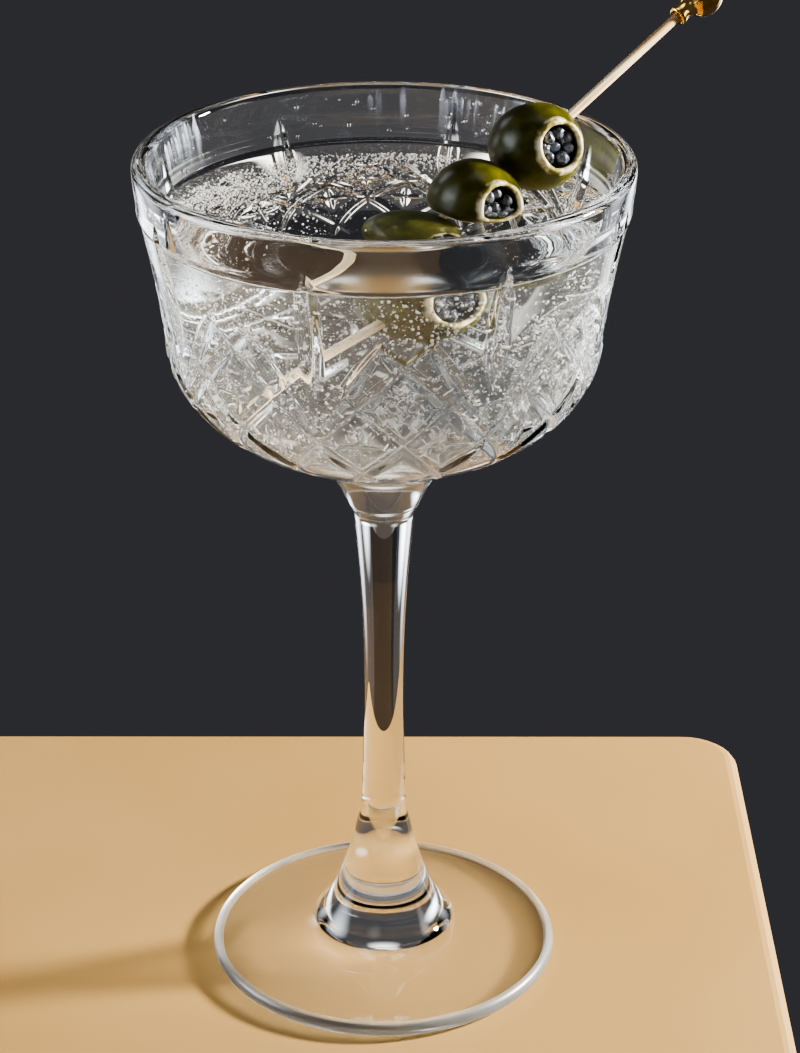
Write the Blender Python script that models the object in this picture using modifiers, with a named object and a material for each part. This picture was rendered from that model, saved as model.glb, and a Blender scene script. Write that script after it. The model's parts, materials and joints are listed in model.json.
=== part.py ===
"""Stemmed cocktail coupe with a cut bowl, its drink and a pick of stuffed olives.

Metres, +Z up. The origin is the centre of the foot's flat underside.
"""

import math

import bmesh
import bpy
from mathutils import Matrix, Vector
from mathutils.geometry import interpolate_bezier

MM = 0.001

# Overall glass
HEIGHT = 171.5 * MM
RIM_RADIUS = 46.5 * MM
FOOT_RADIUS = 35.25 * MM

# Bowl, with heights measured down from the rim
BOWL_HEIGHT = 71.5 * MM
WALL = 3.0 * MM
BAND_HEIGHT = 9.0 * MM
BAND_NECK = 0.6 * MM
BAND_STEP = 0.6 * MM
BAND_BEVEL = 1.4 * MM
WAIST_DROP = 34.5 * MM
WAIST_RADIUS = 41.3 * MM
FLARE_POWER = 1.3
BOTTOM_DEPTH = 25.7 * MM
FLOOR_THICKNESS = 5.2 * MM
COLLAR_RADIUS = 6.3 * MM
COLLAR_SPREAD = 17.5 * MM
COLLAR_PULL = 5.5 * MM
COLLAR_FLARE = 2.2 * MM

# Stem, with its curve's heights as shares of its length
STEM_TOP_RADIUS = 6.0 * MM
STEM_TAPER_RADIUS = 5.2 * MM
STEM_WAIST_RADIUS = 3.9 * MM
STEM_SWELL_RADIUS = 4.4 * MM
STEM_FOOT_RADIUS = 4.9 * MM
STEM_TAPER_SHARE = 0.87
STEM_UPPER_SHARE = 0.69
STEM_WAIST_SHARE = 0.46
STEM_LOWER_SHARE = 0.29
STEM_SWELL_SHARE = 0.11

# Foot
FOOT_HEIGHT = 30.0 * MM
FOOT_BOSS_RADIUS = 5.3 * MM
FOOT_BOSS_PULL = 9.0 * MM
FOOT_BOSS_FLARE = 1.1 * MM
FOOT_SPREAD = 17.0 * MM
FOOT_SPREAD_HEIGHT = 6.0 * MM
FOOT_SPREAD_PULL = 6.8 * MM
FOOT_SPREAD_RISE = 1.0 * MM
FOOT_EDGE = 3.4 * MM
FOOT_EDGE_START = math.radians(80)

# Cut pattern, with heights measured up from the waist
FANS = 8
FAN_ANGLE = math.radians(27.5)
CROSSING_HEIGHT = -7.0 * MM
ROW_STEP = 8.2 * MM
GROOVE_ANGLE = math.radians(121.0)
SLANT_FOOT_ROWS = 1.45
FAN_TOP_ROWS = 2.7
SHORT_TOP_ROWS = 1.6
RISING_DEPTH = 0.65 * MM
FALLING_DEPTH = 0.55 * MM
RAY_FOOT = -5.0 * MM
RAY_TIP = 16.0 * MM
RAY_SWING = math.radians(18.5)
RAY_DEPTH = 0.6 * MM
SPEAR_FOOT = 2.0 * MM
SPEAR_TIP = 22.5 * MM
SPEAR_DEPTH = 0.75 * MM
STAR_REACH = 5.2 * MM
STAR_TILT = math.radians(30)
STAR_DEPTH = 0.45 * MM

# How long each kind of groove keeps its depth, as a power
SLANT_FULLNESS = 6
RAY_FULLNESS = 3
POINTED_FULLNESS = 2

# How far a cutting blade stands out of the glass, along its length and at its ends
BLADE_LIFT = 0.6 * MM
BLADE_RISE = 0.15 * MM

# Drink
DRINK_DROP = 11.2 * MM

# Pick, leaning from the inside of the bowl over the rim
PICK_RADIUS = 0.9 * MM
PICK_LENGTH = 125.0 * MM
PICK_POINT = 8.0 * MM
PICK_TIP_RADIUS = 0.25 * MM
PICK_TIP_DROP = 39.5 * MM
PICK_TIP_ANGLE = math.radians(-132.5)
PICK_RIM_ANGLE = math.radians(33.7)

# Bead on the pick's upper end
BEAD_RADIUS = 4.3 * MM
NECK_WALL = 0.5 * MM
NECK_LENGTH = 3.0 * MM
SOCKET_DEPTH = 7.0 * MM

# Olives and their filling
OLIVE_LENGTH = 21.0 * MM
OLIVE_RADIUS = 8.5 * MM
OLIVE_LIP_GAP = 1.3 * MM
OLIVE_ROLLS = {"upper": math.radians(161), "middle": math.radians(168), "lower": math.radians(174)}
CAVITY_RADIUS = 4.1 * MM
CAVITY_DEPTH = 5.2 * MM
MOUTH_WALL = 1.0 * MM
FILLING_SINK = 0.7 * MM
SEED_COUNT = 7
SEED_GAP = 0.14 * MM

# Clearance between neighbours
GAP = 0.3 * MM

# Facets round each turned piece
BOWL_STEPS = 40
STEM_STEPS = 24
FOOT_STEPS = 40
PICK_STEPS = 12
BEAD_STEPS = 16
OLIVE_STEPS = 20
OLIVE_RINGS = 10
PLUG_STEPS = 16
SEED_STEPS = 8
SEED_RINGS = 5

# Rows along each profile's curves
LIP_ROWS = 4
SIDE_ROWS = 3
OUTER_SIDE_ROWS = 2
BOTTOM_ROWS = 6
OUTER_BOTTOM_ROWS = 5
COLLAR_ROWS = 5
STEM_UPPER_ROWS = 8
STEM_LOWER_ROWS = 6
BOSS_ROWS = 8
EDGE_ROWS = 5
BEAD_ROWS = 10

# Stretches along each groove
GROOVE_STRETCHES = 5
STAR_STRETCHES = 4

# Distance within which a turned piece's seam closes
MERGE = 1e-6

# Step over which the bowl's slope is measured
SLOPE_STEP = 0.05 * MM

# Rounds that settle the pick's lean on the lip
LEAN_ROUNDS = 12

# Worked out from the sizes above
LIP_RADIUS = WALL / 2
LIP_CENTRE_RADIUS = RIM_RADIUS - LIP_RADIUS
LIP_CENTRE_HEIGHT = HEIGHT - LIP_RADIUS
COLLAR_HEIGHT = HEIGHT - BOWL_HEIGHT
WAIST_HEIGHT = HEIGHT - WAIST_DROP
CROSSING = WAIST_HEIGHT + CROSSING_HEIGHT
SIDE_TOP_HEIGHT = HEIGHT - BAND_HEIGHT - BAND_BEVEL
SIDE_TOP_RADIUS = RIM_RADIUS - BAND_NECK - BAND_STEP
INNER_WAIST_RADIUS = WAIST_RADIUS - WALL
INNER_LIP_RADIUS = RIM_RADIUS - 2 * LIP_RADIUS
INNER_DEPTH = BOTTOM_DEPTH - FLOOR_THICKNESS
DRINK_LEVEL = HEIGHT - DRINK_DROP
PITCH = math.tau / (2 * FANS)
OLIVE_SPACING = 2 * OLIVE_RADIUS + GAP
MOUTH_RADIUS = CAVITY_RADIUS + MOUTH_WALL
MOUTH_HEIGHT = OLIVE_LENGTH / 2 * math.sqrt(1 - (MOUTH_RADIUS / OLIVE_RADIUS) ** 2)
PLUG_RADIUS = CAVITY_RADIUS - GAP
SEED_SPREAD = 1 / math.sin(math.pi / SEED_COUNT)
SEED_RADIUS = (PLUG_RADIUS - SEED_GAP - SEED_GAP * SEED_SPREAD / 2) / (1 + SEED_SPREAD)
SEED_RING_RADIUS = (SEED_RADIUS + SEED_GAP / 2) * SEED_SPREAD
CENTRE_SEED_RADIUS = SEED_RING_RADIUS - SEED_RADIUS - SEED_GAP
PLUG_HEIGHT = MOUTH_HEIGHT - FILLING_SINK - SEED_RADIUS


def clear_scene():
    for obj in list(bpy.data.objects):
        bpy.data.objects.remove(obj, do_unlink=True)


def make_collection(name):
    collection = bpy.data.collections.new(name)
    bpy.context.scene.collection.children.link(collection)
    return collection


def make_material(name, colour, roughness, metallic=0.0, transmission=0.0, ior=1.5):
    material = bpy.data.materials.new(name)
    material.use_nodes = True
    shader = material.node_tree.nodes["Principled BSDF"]
    shader.inputs["Base Color"].default_value = (*colour, 1.0)
    shader.inputs["Roughness"].default_value = roughness
    shader.inputs["Metallic"].default_value = metallic
    shader.inputs["Transmission Weight"].default_value = transmission
    shader.inputs["IOR"].default_value = ior
    return material


def add_object(name, mesh, collection, material=None):
    """A visible piece, or a hidden cutter where no material is given."""
    obj = bpy.data.objects.new(name, mesh)
    collection.objects.link(obj)
    if material:
        mesh.materials.append(material)
    else:
        obj.hide_render = True
        obj.display_type = "WIRE"
    return obj


def mesh_from(bm, name):
    mesh = bpy.data.meshes.new(name)
    bm.to_mesh(mesh)
    bm.free()
    return mesh


def add_turned(name, profile, steps, collection, material=None):
    """A solid turned about its own Z axis from (radius, height) points that end on the axis."""
    points = [(radius, 0.0, height) for radius, height in profile]
    edges = [(i, i + 1) for i in range(len(points) - 1)]
    mesh = bpy.data.meshes.new(name)
    mesh.from_pydata(points, edges, [])
    obj = add_object(name, mesh, collection, material)
    screw = obj.modifiers.new("Turn", "SCREW")
    screw.steps = steps
    screw.render_steps = steps
    screw.use_merge_vertices = True
    screw.merge_threshold = MERGE
    screw.use_smooth_shade = True
    return obj


def add_boolean(obj, cutter, operation="DIFFERENCE"):
    boolean = obj.modifiers.new(cutter.name, "BOOLEAN")
    boolean.operation = operation
    boolean.solver = "EXACT"
    boolean.object = cutter


def arc(centre, radius, start, end, count):
    """(radius, height) points on a round stretch, by angle from the +radius direction."""
    angles = [start + (end - start) * i / count for i in range(count + 1)]
    return [(centre[0] + radius * math.cos(a), centre[1] + radius * math.sin(a)) for a in angles]


def bezier(start, pull_start, pull_end, end, rows):
    """(radius, height) points along a smooth flare."""
    knots = [Vector((*point, 0.0)) for point in (start, pull_start, pull_end, end)]
    return [(point.x, point.y) for point in interpolate_bezier(*knots, rows + 1)]


def between(low, high, share):
    return low + (high - low) * share


def outer_radius(height):
    """Outside radius of the bowl's side, and of the round bottom below its waist."""
    rise = height - WAIST_HEIGHT
    if rise >= 0:
        share = rise / (SIDE_TOP_HEIGHT - WAIST_HEIGHT)
        return between(WAIST_RADIUS, SIDE_TOP_RADIUS, share**FLARE_POWER)
    return WAIST_RADIUS * math.sqrt(1 - (rise / BOTTOM_DEPTH) ** 2)


def inner_radius(height, clearance=0.0):
    """Inside radius of the bowl's side above its waist, less a clearance."""
    share = (height - WAIST_HEIGHT) / (LIP_CENTRE_HEIGHT - WAIST_HEIGHT)
    return between(INNER_WAIST_RADIUS, INNER_LIP_RADIUS, share**FLARE_POWER) - clearance


def bottom_radius(height):
    """Inside radius of the bowl's round bottom, below its waist."""
    return INNER_WAIST_RADIUS * math.sqrt(1 - ((WAIST_HEIGHT - height) / INNER_DEPTH) ** 2)


def inner_profile(clearance=0.0):
    """(radius, height) points up the bowl's inside, from the middle of its floor to below the lip."""
    depth = INNER_DEPTH - clearance
    waist = INNER_WAIST_RADIUS - clearance
    turns = [math.pi / 2 * i / BOTTOM_ROWS for i in range(BOTTOM_ROWS)]
    bottom = [(waist * math.sin(t), WAIST_HEIGHT - depth * math.cos(t)) for t in turns]
    side = [between(WAIST_HEIGHT, LIP_CENTRE_HEIGHT, i / SIDE_ROWS) for i in range(SIDE_ROWS)]
    return bottom + [(inner_radius(z, clearance), z) for z in side]


def bowl_profile():
    """From the middle of the bowl's floor, up its inside, over the lip and down to the collar."""
    lip = arc((LIP_CENTRE_RADIUS, LIP_CENTRE_HEIGHT), LIP_RADIUS, math.pi, 0.0, LIP_ROWS)
    neck = RIM_RADIUS - BAND_NECK
    band = [(neck, LIP_CENTRE_HEIGHT - 2 * LIP_RADIUS), (neck, HEIGHT - BAND_HEIGHT)]
    shares = [i / OUTER_SIDE_ROWS for i in range(OUTER_SIDE_ROWS + 1)]
    levels = [between(SIDE_TOP_HEIGHT, WAIST_HEIGHT, share) for share in shares]
    side = [(outer_radius(z), z) for z in levels]
    spread_drop = BOTTOM_DEPTH * math.sqrt(1 - (COLLAR_SPREAD / WAIST_RADIUS) ** 2)
    spread_height = WAIST_HEIGHT - spread_drop
    last_turn = math.asin(spread_drop / BOTTOM_DEPTH)
    turns = [last_turn * i / OUTER_BOTTOM_ROWS for i in range(1, OUTER_BOTTOM_ROWS + 1)]
    bottom = [(WAIST_RADIUS * math.cos(t), WAIST_HEIGHT - BOTTOM_DEPTH * math.sin(t)) for t in turns]
    slope = (BOTTOM_DEPTH / WAIST_RADIUS) ** 2 * COLLAR_SPREAD / spread_drop
    collar = bezier(
        (COLLAR_SPREAD, spread_height),
        (COLLAR_SPREAD - COLLAR_PULL, spread_height - COLLAR_PULL * slope),
        (COLLAR_RADIUS + COLLAR_FLARE, COLLAR_HEIGHT + COLLAR_PULL),
        (COLLAR_RADIUS, COLLAR_HEIGHT),
        COLLAR_ROWS,
    )
    return inner_profile() + lip + band + side + bottom + collar[1:] + [(0.0, COLLAR_HEIGHT)]


def stem_profile():
    def level(share):
        return between(FOOT_HEIGHT, COLLAR_HEIGHT, share)

    waist = (STEM_WAIST_RADIUS, level(STEM_WAIST_SHARE))
    upper = bezier(
        (STEM_TOP_RADIUS, COLLAR_HEIGHT),
        (STEM_TAPER_RADIUS, level(STEM_TAPER_SHARE)),
        (STEM_WAIST_RADIUS, level(STEM_UPPER_SHARE)),
        waist,
        STEM_UPPER_ROWS,
    )
    lower = bezier(
        waist,
        (STEM_WAIST_RADIUS, level(STEM_LOWER_SHARE)),
        (STEM_SWELL_RADIUS, level(STEM_SWELL_SHARE)),
        (STEM_FOOT_RADIUS, FOOT_HEIGHT),
        STEM_LOWER_ROWS,
    )
    return [(0.0, COLLAR_HEIGHT)] + upper + lower[1:] + [(0.0, FOOT_HEIGHT)]


def foot_profile():
    """A boss that flares into a shallow cone with a rounded edge."""
    boss = bezier(
        (FOOT_BOSS_RADIUS, FOOT_HEIGHT),
        (FOOT_BOSS_RADIUS + FOOT_BOSS_FLARE, FOOT_HEIGHT - FOOT_BOSS_PULL),
        (FOOT_SPREAD - FOOT_SPREAD_PULL, FOOT_SPREAD_HEIGHT + FOOT_SPREAD_RISE),
        (FOOT_SPREAD, FOOT_SPREAD_HEIGHT),
        BOSS_ROWS,
    )
    half = FOOT_EDGE / 2
    edge = arc((FOOT_RADIUS - half, half), half, FOOT_EDGE_START, -math.pi / 2, EDGE_ROWS)
    return [(0.0, FOOT_HEIGHT)] + boss + edge + [(0.0, 0.0)]


def outer_frame(angle, height):
    """A point on the bowl's outside, and the direction out of it."""
    slope = (outer_radius(height + SLOPE_STEP) - outer_radius(height - SLOPE_STEP)) / (2 * SLOPE_STEP)
    radial = Vector((math.sin(angle), -math.cos(angle), 0.0))
    up = Vector((0.0, 0.0, 1.0))
    outward = (radial - up * slope).normalized()
    return radial * outer_radius(height) + up * height, outward


def add_blade(bm, start, end, depth, fullness, stretches):
    """A V-edged blade that follows the bowl from one (angle, height) to another.

    It is deepest midway and leaves the glass at both ends. A higher fullness keeps its depth longer.
    """
    half_width = math.tan(GROOVE_ANGLE / 2)
    path = []
    for i in range(stretches + 1):
        share = i / stretches
        place = outer_frame(between(start[0], end[0], share), between(start[1], end[1], share))
        bite = (depth + BLADE_RISE) * (1 - abs(2 * share - 1) ** fullness) - BLADE_RISE
        path.append((*place, bite))
    rings = []
    for i, (point, outward, bite) in enumerate(path):
        before = path[max(i - 1, 0)][0]
        after = path[min(i + 1, stretches)][0]
        side = outward.cross(after - before).normalized() * half_width * (bite + BLADE_LIFT)
        crest = point + outward * BLADE_LIFT
        corners = (point - outward * bite, crest + side, crest - side)
        rings.append([bm.verts.new(corner) for corner in corners])
    for ring, following in zip(rings, rings[1:]):
        for k in range(3):
            bm.faces.new((ring[k - 1], ring[k], following[k], following[k - 1]))
    bm.faces.new(rings[0])
    bm.faces.new(reversed(rings[-1]))


def add_cutter_family(name, blades, collection):
    """One cutter made of blades that stay clear of each other."""
    bm = bmesh.new()
    for blade in blades:
        add_blade(bm, *blade)
    bmesh.ops.recalc_face_normals(bm, faces=bm.faces)
    return add_object(name, mesh_from(bm, name), collection)


def slanted_cuts(way, depth):
    """Diagonal cuts that lean one way: long ones through each fan's foot, short ones between."""
    row_angle = PITCH / 2
    cuts = []
    for k in range(2 * FANS):
        middle = FAN_ANGLE + k * PITCH
        top_rows = FAN_TOP_ROWS if k % 2 == 0 else SHORT_TOP_ROWS
        low_end = (middle - way * SLANT_FOOT_ROWS * row_angle, CROSSING - SLANT_FOOT_ROWS * ROW_STEP)
        high_end = (middle + way * top_rows * row_angle, CROSSING + top_rows * ROW_STEP)
        cuts.append((low_end, high_end, depth, SLANT_FULLNESS, GROOVE_STRETCHES))
    for k in range(FANS):
        centre = (FAN_ANGLE + (2 * k + 1) * PITCH, CROSSING + ROW_STEP)
        swing = way * STAR_REACH * math.cos(STAR_TILT) / WAIST_RADIUS
        tip = (centre[0] + swing, centre[1] + STAR_REACH * math.sin(STAR_TILT))
        cuts.append((centre, tip, STAR_DEPTH, POINTED_FULLNESS, STAR_STRETCHES))
    return cuts


def fan_rays(way):
    """Steep rays that spread from each fan's foot."""
    cuts = []
    for k in range(FANS):
        middle = FAN_ANGLE + 2 * k * PITCH
        foot = (middle, WAIST_HEIGHT + RAY_FOOT)
        tip = (middle + way * RAY_SWING, WAIST_HEIGHT + RAY_TIP)
        cuts.append((foot, tip, RAY_DEPTH, RAY_FULLNESS, GROOVE_STRETCHES))
    return cuts


def upright_cut(angle, low, high, depth, stretches):
    return (angle, low), (angle, high), depth, POINTED_FULLNESS, stretches


def upright_cuts():
    """Tall spears over the fans, and the upright rays of the stars."""
    star_height = CROSSING + ROW_STEP
    spear_foot = WAIST_HEIGHT + SPEAR_FOOT
    spear_tip = WAIST_HEIGHT + SPEAR_TIP
    cuts = []
    for k in range(FANS):
        fan = FAN_ANGLE + 2 * k * PITCH
        cuts.append(upright_cut(fan, spear_foot, spear_tip, SPEAR_DEPTH, GROOVE_STRETCHES))
        star_foot = star_height - STAR_REACH
        cuts.append(upright_cut(fan + PITCH, star_foot, star_height, STAR_DEPTH, STAR_STRETCHES))
    for k in range(2 * FANS):
        angle = FAN_ANGLE + (k + 0.5) * PITCH
        cuts.append(
            upright_cut(angle, CROSSING - STAR_REACH, CROSSING + STAR_REACH, STAR_DEPTH, STAR_STRETCHES)
        )
    return cuts


def level_cuts():
    """The level rays of the stars."""
    swing = STAR_REACH / outer_radius(CROSSING)
    cuts = []
    for k in range(2 * FANS):
        angle = FAN_ANGLE + (k + 0.5) * PITCH
        start = (angle - swing, CROSSING)
        end = (angle + swing, CROSSING)
        cuts.append((start, end, STAR_DEPTH, POINTED_FULLNESS, STAR_STRETCHES))
    return cuts


def build_bowl(parts, cutters, glass):
    bowl = add_turned("bowl", bowl_profile(), BOWL_STEPS, parts, glass)
    families = {
        "rising_cuts": slanted_cuts(1, RISING_DEPTH),
        "falling_cuts": slanted_cuts(-1, FALLING_DEPTH),
        "rising_rays": fan_rays(1),
        "falling_rays": fan_rays(-1),
        "upright_cuts": upright_cuts(),
        "level_cuts": level_cuts(),
    }
    for name, blades in families.items():
        add_boolean(bowl, add_cutter_family(name, blades, cutters))


def pick_line():
    """The pick's tip and direction, and the place along it of the olive that hangs by the lip.

    Its point stands on the bowl's inside and its shaft lies on the lip.
    """
    tip_height = HEIGHT - PICK_TIP_DROP
    wall = bottom_radius(tip_height) if tip_height < WAIST_HEIGHT else inner_radius(tip_height)
    tip_radius = wall - GAP - PICK_RADIUS
    tip = Vector((tip_radius * math.cos(PICK_TIP_ANGLE), tip_radius * math.sin(PICK_TIP_ANGLE), tip_height))
    outward = Vector((math.cos(PICK_RIM_ANGLE), math.sin(PICK_RIM_ANGLE), 0.0))
    lip = outward * LIP_CENTRE_RADIUS + Vector((0.0, 0.0, LIP_CENTRE_HEIGHT))
    along_lip = Vector((-outward.y, outward.x, 0.0))
    reach = LIP_RADIUS + PICK_RADIUS + GAP
    lift = reach
    for _ in range(LEAN_ROUNDS):
        leaning = lip + Vector((0.0, 0.0, lift)) - tip
        direction = leaning.normalized()
        across = direction.cross(along_lip)
        lift = reach * across.length / abs(across.z)
    olive_drop = (OLIVE_RADIUS + LIP_RADIUS + OLIVE_LIP_GAP) / direction.dot(outward)
    return tip, direction, leaning.length - olive_drop


def shaft_profile(clearance=0.0):
    """The pick's shaft and point about its own axis, from the tip up, widened by a clearance."""
    return [
        (0.0, PICK_LENGTH),
        (PICK_RADIUS + clearance, PICK_LENGTH),
        (PICK_RADIUS + clearance, PICK_POINT),
        (PICK_TIP_RADIUS + clearance, -clearance),
        (0.0, -clearance),
    ]


def bead_profile():
    """A ball with a short neck and a blind socket for the pick's end, about the ball's centre."""
    socket_radius = PICK_RADIUS + GAP
    neck_radius = socket_radius + NECK_WALL
    neck_bottom = -BEAD_RADIUS - NECK_LENGTH
    socket_top = neck_bottom + SOCKET_DEPTH
    neck_turn = -math.acos(neck_radius / BEAD_RADIUS)
    ball = arc((0.0, 0.0), BEAD_RADIUS, math.pi / 2, neck_turn, BEAD_ROWS)
    neck = [(neck_radius, neck_bottom), (socket_radius, neck_bottom)]
    socket = [(socket_radius, socket_top), (0.0, socket_top)]
    return [(0.0, BEAD_RADIUS)] + ball[1:] + neck + socket


def build_pick(tip, direction, parts, bamboo, gold):
    pick = add_turned("pick", shaft_profile(), PICK_STEPS, parts, bamboo)
    pick.location = tip
    pick.rotation_euler = direction.to_track_quat("Z", "Y").to_euler()
    bead = add_turned("gold_bead", bead_profile(), BEAD_STEPS, parts, gold)
    bead.parent = pick
    bead.location = (0.0, 0.0, PICK_LENGTH + GAP - SOCKET_DEPTH + NECK_LENGTH + BEAD_RADIUS)
    return pick


def ellipsoid_mesh(name, clearance=0.0):
    """An olive's round form, with its length along Z, swollen by a clearance."""
    radius = OLIVE_RADIUS + clearance
    half_length = OLIVE_LENGTH / 2 + clearance
    bm = bmesh.new()
    bmesh.ops.create_uvsphere(bm, u_segments=OLIVE_STEPS, v_segments=OLIVE_RINGS, radius=1.0)
    bmesh.ops.scale(bm, vec=(radius, radius, half_length), verts=bm.verts)
    mesh = mesh_from(bm, name)
    mesh.shade_smooth()
    return mesh


def mouth_profile():
    """The cut that trims an olive's end and opens its blind cavity."""
    floor = MOUTH_HEIGHT - CAVITY_DEPTH
    return [
        (0.0, OLIVE_LENGTH),
        (OLIVE_RADIUS, OLIVE_LENGTH),
        (OLIVE_RADIUS, MOUTH_HEIGHT),
        (CAVITY_RADIUS, MOUTH_HEIGHT),
        (CAVITY_RADIUS, floor),
        (0.0, floor),
    ]


def bore_profile():
    """The hole through an olive for the pick."""
    radius = PICK_RADIUS + GAP
    return [(0.0, OLIVE_LENGTH), (radius, OLIVE_LENGTH), (radius, -OLIVE_LENGTH), (0.0, -OLIVE_LENGTH)]


def plug_profile():
    """The plug of filling that the seeds sit on."""
    seat = MOUTH_HEIGHT - CAVITY_DEPTH + GAP
    return [(0.0, PLUG_HEIGHT), (PLUG_RADIUS, PLUG_HEIGHT), (PLUG_RADIUS, seat), (0.0, seat)]


def seeds_mesh(name):
    """A ring of seeds round a larger one, each clear of the next."""
    places = [(0.0, 0.0, CENTRE_SEED_RADIUS)]
    for k in range(SEED_COUNT):
        angle = math.tau * k / SEED_COUNT
        places.append((SEED_RING_RADIUS * math.cos(angle), SEED_RING_RADIUS * math.sin(angle), SEED_RADIUS))
    bm = bmesh.new()
    for x, y, radius in places:
        place = Matrix.Translation((x, y, PLUG_HEIGHT))
        bmesh.ops.create_uvsphere(
            bm, u_segments=SEED_STEPS, v_segments=SEED_RINGS, radius=radius, matrix=place
        )
    return mesh_from(bm, name)


def seat_on_pick(obj, pick, station, roll):
    """Places a piece across the pick, its own +Z turned about the pick by the roll."""
    obj.parent = pick
    obj.matrix_local = (
        Matrix.Translation((0.0, 0.0, station))
        @ Matrix.Rotation(roll, 4, "Z")
        @ Matrix.Rotation(math.pi / 2, 4, "Y")
    )


def build_olive(name, station, roll, pick, parts, cutters, skin):
    """An olive's flesh, with its mouth hollowed out and a hole for the pick."""
    olive = add_object(f"olive_{name}", ellipsoid_mesh(f"olive_{name}"), parts, skin)
    seat_on_pick(olive, pick, station, roll)
    mouth = add_turned(f"mouth_{name}", mouth_profile(), OLIVE_STEPS, cutters)
    seat_on_pick(mouth, pick, station, roll)
    add_boolean(olive, mouth)
    bore = add_turned(f"bore_{name}", bore_profile(), PICK_STEPS, cutters)
    bore.parent = pick
    bore.location = (0.0, 0.0, station)
    add_boolean(olive, bore)


def build_filling(name, station, roll, pick, parts, cutters, dark):
    """The filling in an olive's mouth: a plug with a ring of seeds on it."""
    plug = add_turned(f"filling_{name}", plug_profile(), PLUG_STEPS, parts, dark)
    seat_on_pick(plug, pick, station, roll)
    seeds = add_object(f"seeds_{name}", seeds_mesh(f"seeds_{name}"), cutters)
    seat_on_pick(seeds, pick, station, roll)
    add_boolean(plug, seeds, "UNION")


def build_drink(pick, stations, parts, cutters, liquid):
    """The drink fills the bowl to its level, open round the garnish that stands in it."""
    wetted = [(radius, z) for radius, z in inner_profile(GAP) if z < DRINK_LEVEL]
    surface = [(0.0, DRINK_LEVEL), (inner_radius(DRINK_LEVEL, GAP), DRINK_LEVEL)]
    drink = add_turned("drink", surface + wetted[::-1], BOWL_STEPS, parts, liquid)
    for name, roll in OLIVE_ROLLS.items():
        room = add_object(f"room_{name}", ellipsoid_mesh(f"room_{name}", GAP), cutters)
        seat_on_pick(room, pick, stations[name], roll)
        add_boolean(drink, room)
    channel = add_turned("pick_channel", shaft_profile(GAP), PICK_STEPS, cutters)
    channel.parent = pick
    add_boolean(drink, channel)


def build():
    clear_scene()
    parts = make_collection("cocktail_coupe")
    cutters = make_collection("cutters")
    glass = make_material("clear_glass", (0.96, 0.98, 0.98), 0.02, transmission=1.0, ior=1.52)
    liquid = make_material("clear_drink", (0.90, 0.90, 0.82), 0.0, transmission=1.0, ior=1.34)
    bamboo = make_material("pale_bamboo", (0.78, 0.58, 0.34), 0.55)
    gold = make_material("gold_plate", (0.85, 0.58, 0.22), 0.12, metallic=1.0)
    skin = make_material("olive_skin", (0.16, 0.18, 0.03), 0.28)
    dark = make_material("dark_seeds", (0.05, 0.06, 0.08), 0.2)

    build_bowl(parts, cutters, glass)
    add_turned("stem", stem_profile(), STEM_STEPS, parts, glass)
    add_turned("foot", foot_profile(), FOOT_STEPS, parts, glass)
    tip, direction, first_station = pick_line()
    stations = {name: first_station - i * OLIVE_SPACING for i, name in enumerate(OLIVE_ROLLS)}
    pick = build_pick(tip, direction, parts, bamboo, gold)
    for name, roll in OLIVE_ROLLS.items():
        build_olive(name, stations[name], roll, pick, parts, cutters, skin)
        build_filling(name, stations[name], roll, pick, parts, cutters, dark)
    build_drink(pick, stations, parts, cutters, liquid)


build()
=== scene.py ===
"""Looks of the cut cocktail coupe: one fused glass, its drink and bubbles, and the pick of stuffed olives."""

import json
import math

import bmesh
import bpy
import numpy as np
from mathutils import Matrix, Vector, noise
from mathutils.geometry import interpolate_bezier


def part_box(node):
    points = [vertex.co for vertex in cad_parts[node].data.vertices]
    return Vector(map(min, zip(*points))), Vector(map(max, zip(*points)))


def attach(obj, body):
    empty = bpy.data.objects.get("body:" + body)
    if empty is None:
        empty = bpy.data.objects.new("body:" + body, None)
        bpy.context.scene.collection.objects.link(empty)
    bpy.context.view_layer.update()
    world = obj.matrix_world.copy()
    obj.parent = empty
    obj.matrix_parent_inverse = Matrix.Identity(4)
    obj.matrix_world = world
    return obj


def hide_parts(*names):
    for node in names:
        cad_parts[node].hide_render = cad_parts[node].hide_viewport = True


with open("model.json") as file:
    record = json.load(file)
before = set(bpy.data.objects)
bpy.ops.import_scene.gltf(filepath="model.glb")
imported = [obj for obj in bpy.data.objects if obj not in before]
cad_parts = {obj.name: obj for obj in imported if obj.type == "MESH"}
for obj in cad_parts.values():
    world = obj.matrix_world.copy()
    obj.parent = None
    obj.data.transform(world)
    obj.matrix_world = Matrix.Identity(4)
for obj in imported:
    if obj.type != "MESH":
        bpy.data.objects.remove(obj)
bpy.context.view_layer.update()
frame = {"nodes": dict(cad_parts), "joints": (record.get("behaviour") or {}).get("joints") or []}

MM = 0.001

# Places taken from the frame
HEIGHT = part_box("bowl")[1].z
RIM_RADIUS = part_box("bowl")[1].x
COLLAR_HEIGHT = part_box("stem")[1].z
FOOT_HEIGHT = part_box("foot")[1].z
FOOT_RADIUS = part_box("foot")[1].x
DRINK_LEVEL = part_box("drink")[1].z

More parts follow.
